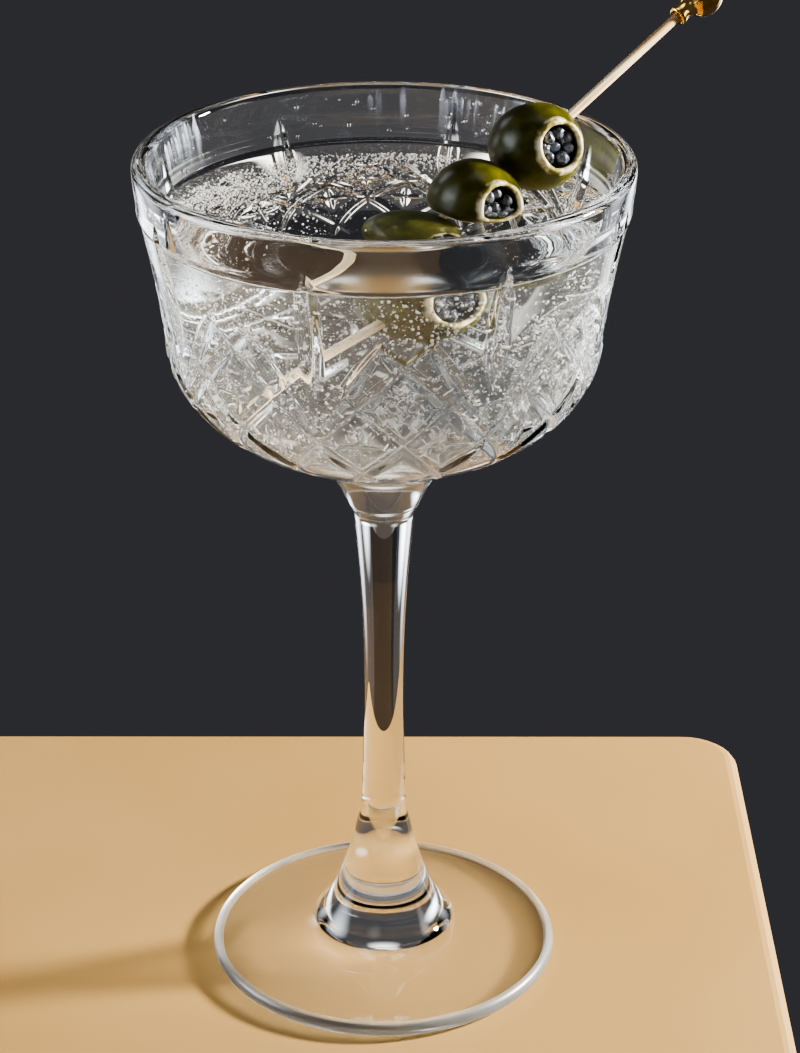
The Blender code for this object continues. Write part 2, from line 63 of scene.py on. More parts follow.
# Bowl
WALL = 3.0 * MM
LIP_RADIUS = WALL / 2
LIP_HEIGHT = HEIGHT - LIP_RADIUS
BAND_HEIGHT = 9.0 * MM
BAND_NECK = 0.6 * MM
BAND_STEP = 0.6 * MM
BAND_BEVEL = 1.4 * MM
BAND_SWELL = 7.5 * MM
BAND_FOOT = HEIGHT - BAND_HEIGHT - BAND_BEVEL
WAIST_HEIGHT = HEIGHT - 34.5 * MM
WAIST_RADIUS = 41.3 * MM
FLARE_POWER = 1.3
BOTTOM_DEPTH = 25.7 * MM
FLOOR_THICKNESS = 5.2 * MM
INNER_WAIST_RADIUS = WAIST_RADIUS - WALL
INNER_LIP_RADIUS = RIM_RADIUS - WALL
INNER_DEPTH = BOTTOM_DEPTH - FLOOR_THICKNESS
INNER_FLOOR = WAIST_HEIGHT - INNER_DEPTH
COLLAR_RADIUS = 6.3 * MM
COLLAR_SPREAD = 17.5 * MM
COLLAR_PULL = 5.5 * MM
COLLAR_FLARE = 2.2 * MM

# Stem, drawn by two curves through (radius, share of its length) points
STEM_WAIST = 3.9 * MM
LOWER_STEM = ((4.9 * MM, 0.0), (4.4 * MM, 0.11), (STEM_WAIST, 0.29), (STEM_WAIST, 0.46))
UPPER_STEM = ((STEM_WAIST, 0.46), (STEM_WAIST, 0.69), (5.2 * MM, 0.87), (6.0 * MM, 1.0))

# Foot
BOSS_RADIUS = 5.3 * MM
BOSS_PULL = 9.0 * MM
BOSS_FLARE = 1.8 * MM
FOOT_SPREAD = 14.8 * MM
FOOT_SPREAD_HEIGHT = 7.0 * MM
FOOT_SPREAD_PULL = 4.0 * MM
FOOT_SPREAD_RISE = 2.4 * MM
FOOT_HOLLOW = 4.2 * MM
FOOT_HOLLOW_RADIUS = 32.8 * MM
FOOT_HOLLOW_POWER = 1.6
FOOT_EDGE = 3.4 * MM
FOOT_EDGE_START = math.radians(80)

# Cut pattern
FANS = 8
FAN_ANGLE = math.radians(27.5)
PITCH = math.tau / (2 * FANS)
CROSSING = WAIST_HEIGHT - 7.0 * MM
ROW_STEP = 8.2 * MM
GROOVE_SLOPE = math.tan(math.radians(60.5))
SLANT_FOOT_ROWS = 1.45
FAN_TOP_ROWS = 2.7
SHORT_TOP_ROWS = 1.6
SLANT_DEPTH = 0.8 * MM
RAY_FOOT = WAIST_HEIGHT - 5.0 * MM
RAY_TIP = WAIST_HEIGHT + 16.0 * MM
RAY_SWING = math.radians(18.5)
RAY_DEPTH = 0.75 * MM
SPEAR_FOOT = WAIST_HEIGHT + 2.0 * MM
SPEAR_TIP = HEIGHT - 5.2 * MM
SPEAR_DEPTH = 1.1 * MM
STAR_REACH = 5.2 * MM
STAR_TILT = math.radians(30)
STAR_DEPTH = 0.58 * MM
SLANT_FULLNESS = 6
RAY_FULLNESS = 3
POINTED_FULLNESS = 2
GROOVE_RISE = 0.15 * MM
GROOVE_ROUND = 0.12 * MM
EDGE_SOFTNESS = 0.05 * MM

# Fineness of the glass: points round it, and rows along each stretch of its outline
COARSE = 128
FINE = 640
FINE_ROW = 0.475 * MM
SLOPE_STEP = 0.02 * MM
PATTERN_FOOT = WAIST_HEIGHT - 20.0 * MM
PATTERN_TOP = HEIGHT - 4.5 * MM
HOLLOW_ROWS = 12
FOOT_EDGE_ROWS = 12
FOOT_SLOPE_ROWS = 4
BOSS_ROWS = 20
LOWER_STEM_ROWS = 14
UPPER_STEM_ROWS = 16
COLLAR_ROWS = 12
BOTTOM_ROWS = 7
SWELL_ROWS = 5
LIP_ROWS = 14
DRY_ROWS = 6
WET_ROWS = 11
FLOOR_ROWS = 18

# Finishes of the glass and of the drink, in the order of their materials
# The worn finish is rough glass whose pale colour is a painted highlight on the foot's edge
DRY, WET, WORN_HIGHLIGHT = 0, 1, 2
TOP, SIDE = 0, 1
WORN_HIGHLIGHT_ROWS = FOOT_EDGE_ROWS + 1

# Drink
MENISCUS = 0.9 * MM
MENISCUS_REACH = 0.52 * MM
WET_TOP = DRINK_LEVEL + MENISCUS
FILM = 0.05 * MM
DRINK_FLOOR_ROWS = 20
DRINK_TOP_RINGS = 30
DRINK_FIRST_RING = 0.15 * MM
DRINK_LAST_RADIUS = 1.0 * MM
HAZE_BACK = 5.0 * MM
HAZE_FRONT = -28.0 * MM
HAZE_MOST = 0.17

# Bubbles, with turns in degrees from the front
BUBBLE_GAP = 0.5 * MM
SURFACE_BUBBLES = 2200
SURFACE_SIZES = (0.12 * MM, 0.24 * MM)
SURFACE_REACH = 40.5 * MM
SURFACE_RIGHT = 16.0 * MM
SURFACE_FADE = 40.0 * MM
SURFACE_LEFT_SHARE = 0.7
SURFACE_BACK_SHARE = 0.6
SURFACE_THIN = 0.35
SURFACE_CLUMPS = 90.0
SURFACE_CLUMP_START = -0.1
SURFACE_RING = 38.0 * MM
SURFACE_MIDDLE_SHARE = 0.25
SURFACE_FRONT = -14.0 * MM
SURFACE_FRONT_FADE = 18.0 * MM
SURFACE_BACK_GAP = 6.0 * MM
SURFACE_RISE = 0.05 * MM
WALL_BUBBLES = 2400
WALL_SIZES = (0.13 * MM, 0.34 * MM)
WALL_TURNS = (-115, 75)
WALL_LOW = WAIST_HEIGHT - 9.0 * MM
WALL_CLUMPS = (5.0, 130.0)
WALL_INSET = 0.3 * MM
FINE_BUBBLES = 9000
FINE_SIZES = (0.07 * MM, 0.16 * MM)
FINE_LOW = WAIST_HEIGHT - 14.0 * MM
FINE_INSETS = (0.2 * MM, 2.5 * MM)
FINE_LEAST = 0.35
FINE_THICKEST = math.radians(-35)
FINE_CLUMPS = (4.0, 100.0)
CLUMP_MIDDLES = {"wall": 0.45, "fine": 0.55}
CLUMP_SPREAD = 0.9

# Drops and streaks on the dry wall: the middle and spread of each group in degrees, and its count
DROP_GROUPS = ((158, 12, 22), (-112, 16, 24), (180, 60, 24))
DROP_SIZES = (0.12 * MM, 0.42 * MM)
DROP_SCATTER = 0.5
DROP_FLATNESS = 3
DROP_LENGTHS = (0.8, 1.8)
STREAK_GROUPS = ((160, 5, 16), (146, 4, 6), (183, 2, 5), (176, 1.2, 3), (-116, 9, 20), (-95, 6, 7))
STREAK_HALF_LENGTHS = (1.2 * MM, 5.2 * MM)
STREAK_HALF_WIDTHS = (0.15 * MM, 0.8 * MM)
STREAK_DROPS = (0.2 * MM, 1.2 * MM)
STREAK_STRENGTHS = (0.1, 0.9)
STREAK_FILM = 0.3 * MM
STREAK_FADE = 1.5

# Pick, with its point as (share of the radius, distance from the tip)
PICK_RADIUS = 0.9 * MM
PICK_POINT = ((0.28, 0.0), (0.45, 1.2 * MM), (0.66, 3.2 * MM), (0.85, 6.0 * MM), (0.97, 8.0 * MM))
PICK_POINT_LENGTH = 9.0 * MM
PICK_TIP = 0.1 * MM
PICK_SIDES = 20
PICK_ROWS = 90
PICK_WOBBLE = 0.035
PICK_WOBBLE_ROUND = 2.0
PICK_WOBBLE_ALONG = 60.0
STAIN_START = 24.0 * MM
STAIN_END = 6.0 * MM
STAIN_MOST = 0.75

# Ball, with its neck as (radius, height above the ball's centre) in mm
BALL_RADIUS = 4.3 * MM
BALL_NECK = ((1.25, -7.3), (1.75, -7.2), (1.95, -6.9), (1.85, -6.4), (1.65, -5.6), (1.65, -4.8), (1.9, -4.2))
BALL_NECK_MIDDLE = -7.2 * MM
BALL_START = math.radians(-60)
BALL_END = math.radians(84)
BALL_SIDES = 48
BALL_ROWS = 30
DENT = 0.012
DENT_SCALE = 420.0

# Olives
OLIVE_RADIUS = 8.5 * MM
OLIVE_HALF_LENGTH = 10.5 * MM
OLIVE_START = math.radians(-88)
OLIVE_SIDES = 64
OLIVE_ROWS = 44
OLIVE_SWELL = 0.022
OLIVE_SWELL_SCALE = 110.0
OLIVE_LUMP = 0.006
OLIVE_LUMP_SCALE = 420.0
CAVITY_RADIUS = 4.1 * MM
CAVITY_DEPTH = 3.4 * MM
CAVITY_ROWS = 4
MOUTH_WALL = 1.0 * MM
MOUTH_ROWS = 10
MOUTH_RADIUS = CAVITY_RADIUS + MOUTH_WALL
MOUTH_HEIGHT = OLIVE_HALF_LENGTH * math.sqrt(1 - (MOUTH_RADIUS / OLIVE_RADIUS) ** 2)
CAVITY_FLOOR = MOUTH_HEIGHT - CAVITY_DEPTH
LIP_BAND = 1.2 * MM
LIP_TEAR = 0.35 * MM
LIP_TEAR_SCALE = 420.0
LIP_TEAR_SHIFT = 0.01
LIP_WAVE = 1.1 * MM
LIP_WAVE_SCALE = 130.0
LIP_WAVE_SHIFT = 0.02
DIMPLE = 0.07
DIMPLE_REACH = 1.5 * MM
CUT_RAGGED = 1.6 * MM
CUT_START = MOUTH_HEIGHT + 0.45 * MM
CUT_END = MOUTH_HEIGHT + 1.3 * MM

# Fillings
PLUG_RADIUS = 3.9 * MM
PLUG_HALF_HEIGHT = 0.6 * MM
PLUG_HEIGHT = CAVITY_FLOOR + 0.1 * MM
SEEDS = 7
SEED_FINENESS = 4
SEED_RADIUS = 1.25 * MM
SEED_RADIUS_SPREAD = 0.14
SEED_RING = 2.6 * MM
SEED_RING_SPREAD = 0.12 * MM
SEED_TURN_SPREAD = 0.25
SEED_HEIGHT = MOUTH_HEIGHT - 1.3 * MM
SEED_HEIGHT_SPREAD = 0.4 * MM
SEED_LUMP = 0.16
SEED_LUMP_SCALE = 900.0
SEED_LUMP_SHIFT = 1000.0
MIDDLE_SEED_RADIUS = 1.4 * MM
MIDDLE_SEED_HEIGHT = PLUG_HEIGHT + 1.0 * MM

# Clear materials
GLASS_INDEX = 1.52
DRINK_INDEX = 1.34
GLASS_COLOUR = (0.985, 0.99, 0.99)
DRINK_COLOUR = (0.985, 0.985, 0.97)
WATER_COLOUR = (1.0, 1.0, 1.0)
HAZE_COLOUR = (0.93, 0.95, 0.92)
# Rough frosting of the bowl's floor, and a grey in its middle that is painted shade
FROST = 0.85
FROST_AND_SHADE_REACH = 24.0 * MM
FLOOR_PAINTED_SHADE_FULL = 0.45
FLOOR_PAINTED_SHADE_COLOUR = (0.22, 0.225, 0.22)

# Floor slab
FLOOR_LOW = Vector((-0.45, -0.45, -0.03))
FLOOR_HIGH = Vector((0.082, 0.088, -0.0003))
FLOOR_CORNER = 12.0 * MM
FLOOR_CORNER_ROWS = 8
FLOOR_BEVEL = 3.0 * MM
FLOOR_BEVEL_ROWS = 4

# Colours that several lights share
BLUE_SKY = (0.82, 0.9, 1.0)
PALE_SKY = (0.86, 0.92, 1.0)
WHITE_SKY = (0.9, 0.94, 1.0)

# Camera, fitted to the photograph
CAMERA_PLACE = Vector((0.0, -0.5259, 0.3497))
CAMERA_PITCH = math.radians(25.77)
CAMERA_YAW = math.radians(0.34)
CAMERA_ROLL = math.radians(0.208)
CAMERA_LENS = 135.0
CAMERA_SENSOR = 36.0


def between(low, high, share):
    return low + (high - low) * share


def arc(centre, radius, start, end, count):
    """(radius, height) points on a round stretch, by angle from the +radius direction."""
    angles = np.linspace(start, end, count + 1)
    return [(centre[0] + radius * math.cos(a), centre[1] + radius * math.sin(a)) for a in angles]


def bezier(start, pull_start, pull_end, end, rows):
    """(radius, height) points along a smooth flare."""
    knots = [Vector((*point, 0.0)) for point in (start, pull_start, pull_end, end)]
    return [(point.x, point.y) for point in interpolate_bezier(*knots, rows + 1)]


def smooth(share):
    """A soft step from 0 to 1."""
    share = min(max(share, 0.0), 1.0)
    return share * share * (3 - 2 * share)


def outer_radius(height):
    """Outside radius of the bowl: its round bottom, its side, and the rim band that steps out and swells."""
    rise = height - WAIST_HEIGHT
    if rise < 0:
        return WAIST_RADIUS * math.sqrt(1 - (rise / BOTTOM_DEPTH) ** 2)
    share = min(rise / (BAND_FOOT - WAIST_HEIGHT), 1.0)
    side = between(WAIST_RADIUS, RIM_RADIUS - BAND_NECK - BAND_STEP, share**FLARE_POWER)
    step = BAND_STEP * smooth((height - BAND_FOOT) / BAND_BEVEL)
    swell = BAND_NECK * smooth(1 - (LIP_HEIGHT - height) / BAND_SWELL)
    return side + step + swell


def inner_radius(height):
    """Inside radius of the bowl, from the middle of its floor to the lip."""
    rise = height - WAIST_HEIGHT
    if rise >= 0:
        share = rise / (LIP_HEIGHT - WAIST_HEIGHT)
        return between(INNER_WAIST_RADIUS, INNER_LIP_RADIUS, share**FLARE_POWER)
    return INNER_WAIST_RADIUS * math.sqrt(max(0.0, 1 - (rise / INNER_DEPTH) ** 2))


def inner_bottom(count):
    """(radius, height) points from beside the middle of the floor up to the waist."""
    turns = np.linspace(0, math.pi / 2, count + 1)[1:]
    return [(INNER_WAIST_RADIUS * math.sin(t), WAIST_HEIGHT - INNER_DEPTH * math.cos(t)) for t in turns]


def on_wall(radius, turn, height):
    """A point at an angle round the glass, measured from its front."""
    return radius * math.sin(turn), -radius * math.cos(turn), height


def ring(radius, height, count):
    """Points round the axis, starting at a fan. Radius and height may differ from point to point."""
    angle = FAN_ANGLE + np.arange(count) * math.tau / count
    radius = np.broadcast_to(radius, count)
    height = np.broadcast_to(height, count)
    return np.column_stack([radius * np.sin(angle), -radius * np.cos(angle), height])


def pole(height):
    return np.array([[0.0, 0.0, height]])


def bridge(low, low_count, high, high_count):
    """Faces between two rings whose counts are equal, or one a multiple of the other."""
    count = high_count if low_count == 1 else low_count if high_count == 1 else min(low_count, high_count)
    faces = []
    for i in range(count):
        face = []
        for start, size, way in ((low, low_count, 1), (high, high_count, -1)):
            step = size // count
            corners = [start + (i * step + k) % size for k in range(step + 1)] if step else [start]
            face += corners[::way]
        faces.append(face)
    return faces


def loft(rings, finishes=None):
    """Points and faces of a skin over rings, and each face's finish from the ring below it."""
    starts = np.cumsum([0] + [len(r) for r in rings])
    faces = []
    marks = []
    for i in range(len(rings) - 1):
        strip = bridge(starts[i], len(rings[i]), starts[i + 1], len(rings[i + 1]))
        faces += strip
        marks += [finishes[i] if finishes else 0] * len(strip)
    return np.vstack(rings), faces, marks


def take_shape(bm):
    """The points and faces of an edit mesh, which is then let go."""
    bm.verts.index_update()
    points = np.array([v.co for v in bm.verts])
    faces = np.array([[v.index for v in f.verts] for f in bm.faces])
    bm.free()
    return points, faces


def add_object(name, data, place=Matrix.Identity(4)):
    obj = bpy.data.objects.new(name, data)
    obj.matrix_world = place
    bpy.context.scene.collection.objects.link(obj)
    return obj


def add_piece(name, points, faces, body, materials, marks=None, nodes=(), place=Matrix.Identity(4)):
    """A smooth piece that rides on a body and stands for CAD nodes."""
    mesh = bpy.data.meshes.new(name)
    mesh.from_pydata(np.asarray(points).tolist(), [], faces)
    for material in materials:
        mesh.materials.append(material)
    if marks is not None:
        mesh.polygons.foreach_set("material_index", marks)
    mesh.shade_smooth()
    obj = add_object(name, mesh, place)
    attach(obj, body)
    if nodes:
        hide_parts(*nodes)
    return obj


def node_points(name):
    return np.array([v.co for v in frame["nodes"][name].data.vertices])


# Materials


def rgba(colour):
    return (*colour, 1.0)


def new_material(name):
    """A material, its node tree and its main shader."""
    material = bpy.data.materials.new(name)
    material.use_nodes = True
    tree = material.node_tree
    return material, tree, tree.nodes["Principled BSDF"]


def wire(tree, node, inputs):
    """Gives each named socket of a node its constant, or a link from its source."""
    for name, source in inputs.items():
        if isinstance(source, bpy.types.NodeSocket):
            tree.links.new(source, node.inputs[name])
        else:
            node.inputs[name].default_value = source


def add_node(tree, kind, inputs):
    node = tree.nodes.new(f"ShaderNode{kind}")
    wire(tree, node, inputs)
    return node


def show(tree, node, output="Material Output"):
    """Makes a shader node the one that is seen."""
    tree.links.new(node.outputs[0], tree.nodes[output].inputs["Surface"])


def mix_shaders(tree, share, first, second):
    """A shader that goes from the first to the second as the share rises from 0 to 1."""
    return add_node(tree, "MixShader", {"Fac": share, 1: first.outputs[0], 2: second.outputs[0]})


def mix_colours(tree, share, first, second):
    """A colour that goes from the first to the second as the share rises from 0 to 1."""
    mix = tree.nodes.new("ShaderNodeMix")
    mix.data_type = "RGBA"
    wire(tree, mix, {"Factor": share, "A": first, "B": second})
    return mix.outputs["Result"]


def add_math(tree, operation, *values):
    """The result of a sum over sources and constants."""
    node = add_node(tree, "Math", dict(enumerate(values)))
    node.operation = operation
    return node.outputs["Value"]


def own_place(tree):
    """The piece's own coordinates."""
    return tree.nodes.new("ShaderNodeTexCoord").outputs["Object"]


def own_axis(tree, axis):
    """The piece's own coordinate along one axis."""
    return add_node(tree, "SeparateXYZ", {"Vector": own_place(tree)}).outputs[axis]


def add_noise(tree, scale, detail=4.0, stretch=(1.0, 1.0, 1.0)):
    """Noise from 0 to 1 in the piece's own coordinates, stretched along its axes."""
    mapping = add_node(tree, "Mapping", {"Vector": own_place(tree), "Scale": stretch})
    inputs = {"Vector": mapping.outputs["Vector"], "Scale": scale, "Detail": detail}
    return add_node(tree, "TexNoise", inputs).outputs["Fac"]


def add_ramp(tree, source, stops):
    """A colour ramp over (position, colour) stops."""
    ramp = add_node(tree, "ValToRGB", {"Fac": source})
    while len(ramp.color_ramp.elements) < len(stops):
        ramp.color_ramp.elements.new(1.0)
    for element, (position, colour) in zip(ramp.color_ramp.elements, stops):
        element.position = position
        element.color = rgba(colour)
    return ramp.outputs["Color"]


def add_range(tree, source, low, high, start=0.0, end=1.0, soft=False):
    """A number that goes from low to high as the source goes from start to end."""
    inputs = {"Value": source, "From Min": start, "From Max": end, "To Min": low, "To Max": high}
    spread = add_node(tree, "MapRange", inputs)
    if soft:
        spread.interpolation_type = "SMOOTHSTEP"
    return spread.outputs["Result"]


def add_bump(tree, source, distance):
    inputs = {"Height": source, "Distance": distance, "Strength": 1.0}
    return add_node(tree, "Bump", inputs).outputs["Normal"]


def floor_middle(tree):
    """A share that rises to 1 in the middle of the bowl's floor."""
    inputs = {
        "Vector": own_place(tree),
        "Location": (0.0, 0.0, -INNER_FLOOR / FROST_AND_SHADE_REACH),
        "Scale": (1 / FROST_AND_SHADE_REACH,) * 3,
    }
    mapping = add_node(tree, "Mapping", inputs)
    middle = add_node(tree, "TexGradient", {"Vector": mapping.outputs["Vector"]})
    middle.gradient_type = "SPHERICAL"
    return middle.outputs["Fac"]


def clear_material(name, colour, index, shade=(0.93, 0.3), frosted_and_shaded=False):
    """Clear glass or liquid. Light passes to what is behind it, less so at its edges.

    Frosted glass gets rough towards the middle of the bowl's floor, and grey there as painted shade that
    darkens what is seen through it.
    """
    material, tree, shader = new_material(name)
    wire(tree, shader, {"Base Color": rgba(colour), "Transmission Weight": 1.0, "IOR": index})
    if frosted_and_shaded:
        middle = floor_middle(tree)
        # painted shade: the colour turns grey towards the middle of the bowl's floor
        grey = add_ramp(tree, middle, [(0.0, colour), (FLOOR_PAINTED_SHADE_FULL, FLOOR_PAINTED_SHADE_COLOUR)])
        wire(tree, shader, {"Base Color": grey, "Roughness": add_range(tree, middle, 0.01, FROST)})
    else:
        wire(tree, shader, {"Roughness": add_range(tree, add_noise(tree, scale=60.0), 0.0, 0.025)})
    bright, dim = shade
    facing = add_node(tree, "LayerWeight", {}).outputs["Facing"]
    tint = add_ramp(tree, facing, [(0.3, (bright,) * 3), (1.0, (dim,) * 3)])
    passing = add_node(tree, "BsdfTransparent", {"Color": tint})
    shadow = add_node(tree, "LightPath", {}).outputs["Is Shadow Ray"]
    show(tree, mix_shaders(tree, shadow, shader, passing))
    return material


def worn_highlight_material():
    """Glass rubbed rough round the foot's edge, with a pale blue-white colour there that is a painted
    highlight.
    """
    material, tree, shader = new_material("worn_highlight_glass")
    cloud = add_noise(tree, scale=90.0)
    wire(tree, shader, {
        # painted highlight: the pale blue-white colour stands in for the reflections on the foot's edge
        "Base Color": add_ramp(tree, cloud, [(0.3, (0.6, 0.68, 0.8)), (0.7, (0.9, 0.95, 1.0))]),
        "Transmission Weight": 0.88,
        "IOR": GLASS_INDEX,
        "Roughness": add_range(tree, cloud, 0.2, 0.45),
    })
    return material


def haze_material():
    """A haze of bubbles too fine to model, in clumps, which glows with the light from both sides."""
    material, tree, shader = new_material("drink_haze")
    cloud = add_noise(tree, scale=700.0, detail=6.0)
    wire(tree, shader, {"Base Color": rgba(HAZE_COLOUR), "Roughness": add_range(tree, cloud, 0.5, 0.8)})
    through = add_node(tree, "BsdfTranslucent", {"Color": rgba(HAZE_COLOUR)})
    haze = mix_shaders(tree, 0.5, shader, through)
    front = add_range(tree, own_axis(tree, "Y"), 0.0, 1.0, HAZE_BACK, HAZE_FRONT, soft=True)
    share = add_math(tree, "MULTIPLY", add_range(tree, cloud, 0.0, HAZE_MOST), front)
    show(tree, mix_shaders(tree, share, add_node(tree, "BsdfTransparent", {}), haze))
    return material


def streak_material():
    """A thin wet film, cloudy at its top and clear at its edges and its lower end."""
    material, tree, shader = new_material("wet_streaks")
    cloud = add_noise(tree, scale=900.0, detail=5.0, stretch=(1.0, 1.0, 0.15))
    wire(tree, shader, {"Base Color": (0.7, 0.8, 1.0, 1.0), "Roughness": add_range(tree, cloud, 0.1, 0.4)})
    wetness = tree.nodes.new("ShaderNodeAttribute")
    wetness.attribute_name = "wetness"
    share = add_math(tree, "MULTIPLY", add_range(tree, cloud, 0.1, 0.6), wetness.outputs["Fac"])
    show(tree, mix_shaders(tree, share, add_node(tree, "BsdfTransparent", {}), shader))
    return material


def bubble_material():
    material, tree, shader = new_material("bubble_film")
    wire(tree, shader, {
        "Base Color": (0.95, 0.96, 0.97, 1.0),
        "Transmission Weight": 0.5,
        "IOR": DRINK_INDEX,
        "Roughness": add_range(tree, add_noise(tree, scale=900.0), 0.0, 0.1),
    })
    return material


def olive_material():
    """Dark green skin with paler mottling, going pale where the mouth is cut."""
    material, tree, shader = new_material("olive_skin")
    mottle = add_noise(tree, scale=260.0, detail=6.0)
    green_stops = [(0.3, (0.02, 0.021, 0.002)), (0.55, (0.052, 0.052, 0.004)), (0.8, (0.105, 0.103, 0.01))]
    flesh = add_noise(tree, scale=520.0)
    flesh_stops = [(0.38, (0.2, 0.18, 0.04)), (0.5, (0.62, 0.54, 0.32)), (0.62, (0.86, 0.8, 0.62))]
    ragged = add_math(tree, "MULTIPLY_ADD", mottle, CUT_RAGGED, own_axis(tree, "Z"))
    cut = add_range(tree, ragged, 0.0, 1.0, CUT_START, CUT_END)
    skin = add_ramp(tree, mottle, green_stops)
    wire(tree, shader, {
        "Base Color": mix_colours(tree, cut, skin, add_ramp(tree, flesh, flesh_stops)),
        "Roughness": add_range(tree, mottle, 0.22, 0.42),
        "Subsurface Weight": 0.15,
        "Subsurface Radius": (1.0 * MM, 0.9 * MM, 0.3 * MM),
        "Specular IOR Level": 0.06,
        "Coat Weight": 0.1,
        "Coat Roughness": 0.03,
        "Normal": add_bump(tree, flesh, 0.08 * MM),
    })
    return material


def filling_material():
    """Dark blue-grey, wet and glossy."""
    material, tree, shader = new_material("dark_seeds")
    cloud = add_noise(tree, scale=900.0, detail=5.0)
    wire(tree, shader, {
        "Base Color": add_ramp(tree, cloud, [(0.3, (0.012, 0.014, 0.02)), (0.7, (0.13, 0.15, 0.2))]),
        "Roughness": add_range(tree, cloud, 0.12, 0.35),
        "Coat Weight": 1.0,
        "Coat Roughness": 0.05,
        "Normal": add_bump(tree, cloud, 0.35 * MM),
    })
    return material


def bamboo_material(length):
    """Pale wood with long fibres, stained golden towards the ball."""
    material, tree, shader = new_material("pale_bamboo")
    fibre = add_noise(tree, scale=1800.0, detail=5.0, stretch=(1.0, 1.0, 0.03))
    stops = [(0.3, (0.42, 0.22, 0.07)), (0.48, (0.8, 0.64, 0.4)), (0.75, (0.92, 0.84, 0.68))]
    stain = add_range(tree, own_axis(tree, "Z"), 0.0, STAIN_MOST, length - STAIN_START, length - STAIN_END)
    golden = (0.45, 0.22, 0.05, 1.0)
    wire(tree, shader, {
        "Base Color": mix_colours(tree, stain, add_ramp(tree, fibre, stops), golden),
        "Roughness": add_range(tree, fibre, 0.35, 0.6),
        "Normal": add_bump(tree, fibre, 0.05 * MM),
    })
    return material


def gold_material():
    """Polished gold plate with faint dents and darker hollows."""
    material, tree, shader = new_material("gold_plate")
    cloud = add_noise(tree, scale=420.0, detail=3.0)
    wire(tree, shader, {
        "Base Color": add_ramp(tree, cloud, [(0.3, (0.55, 0.27, 0.05)), (0.7, (0.95, 0.63, 0.22))]),
        "Metallic": 1.0,
        "Roughness": add_range(tree, cloud, 0.06, 0.2),
        "Normal": add_bump(tree, cloud, 0.15 * MM),
    })
    return material


def floor_material():
    """Pale, matt and very faintly uneven."""
    material, tree, shader = new_material("pale_floor")
    cloud = add_noise(tree, scale=9.0, detail=6.0)
    wire(tree, shader, {
        "Base Color": add_ramp(tree, cloud, [(0.3, (0.285, 0.176, 0.062)), (0.7, (0.33, 0.213, 0.083))]),
        "Roughness": add_range(tree, cloud, 0.45, 0.6),
        "Specular IOR Level": 0.15,
    })
    return material


# Glass


def slanted_cuts():
    """Crossing diagonals: long ones through each fan's foot, short ones between, and the slant star rays."""
    cuts = []
    row_angle = PITCH / 2
    for way in (1, -1):
        for k in range(2 * FANS):
            middle = FAN_ANGLE + k * PITCH
            top_rows = FAN_TOP_ROWS if k % 2 == 0 else SHORT_TOP_ROWS
            low = (middle - way * SLANT_FOOT_ROWS * row_angle, CROSSING - SLANT_FOOT_ROWS * ROW_STEP)
            high = (middle + way * top_rows * row_angle, CROSSING + top_rows * ROW_STEP)
            cuts.append((low, high, SLANT_DEPTH, SLANT_FULLNESS))
        for k in range(FANS):
            centre = (FAN_ANGLE + (2 * k + 1) * PITCH, CROSSING + ROW_STEP)
            swing = way * STAR_REACH * math.cos(STAR_TILT) / WAIST_RADIUS
            tip = (centre[0] + swing, centre[1] + STAR_REACH * math.sin(STAR_TILT))
            cuts.append((centre, tip, STAR_DEPTH, POINTED_FULLNESS))
    return cuts


def fan_cuts():
    """The steep rays and the tall spear over each fan's foot, and the upright ray of each upper star."""
    cuts = []
    star_height = CROSSING + ROW_STEP
    for k in range(FANS):
        fan = FAN_ANGLE + 2 * k * PITCH
        for way in (1, -1):
            cuts.append(((fan, RAY_FOOT), (fan + way * RAY_SWING, RAY_TIP), RAY_DEPTH, RAY_FULLNESS))
        cuts.append(((fan, SPEAR_FOOT), (fan, SPEAR_TIP), SPEAR_DEPTH, RAY_FULLNESS))
        star = fan + PITCH
        cuts.append(((star, star_height - STAR_REACH), (star, star_height), STAR_DEPTH, POINTED_FULLNESS))
    return cuts


def star_cuts():
    """The upright and level rays of the stars in the row of diamonds."""
    cuts = []
    swing = STAR_REACH / outer_radius(CROSSING)
    for k in range(2 * FANS):
        angle = FAN_ANGLE + (k + 0.5) * PITCH
        upright = (angle, CROSSING - STAR_REACH), (angle, CROSSING + STAR_REACH)
        level = (angle - swing, CROSSING), (angle + swing, CROSSING)
        for start, end in (upright, level):
            cuts.append((start, end, STAR_DEPTH, POINTED_FULLNESS))
    return cuts


def cut_depth(angle, height, radius, stretch, cuts):
    """How far the cuts reach into the glass at each angle of one row, with soft edges between them.

    Stretch is the length of the row's slope for each unit of height.
    """
    total = np.ones_like(angle)
    for (start_angle, start_height), (end_angle, end_height), depth, fullness in cuts:
        swing = end_angle - start_angle
        rise = end_height - start_height
        turn = (angle - start_angle - swing / 2 + math.pi) % math.tau - math.pi + swing / 2
        climb = height - start_height
        across = np.abs(turn * rise - climb * swing) / math.hypot(rise / radius, swing / stretch)
        across = np.sqrt(across**2 + GROOVE_ROUND**2) - GROOVE_ROUND
        span = (radius * swing) ** 2 + (stretch * rise) ** 2
        share = (turn * radius**2 * swing + climb * stretch**2 * rise) / span
        share = np.clip(share, 0.0, 1.0)
        bite = (depth + GROOVE_RISE) * (1 - np.abs(2 * share - 1) ** fullness) - GROOVE_RISE
        total += np.exp((bite - across / GROOVE_SLOPE) / EDGE_SOFTNESS)
    return EDGE_SOFTNESS * np.log(total)


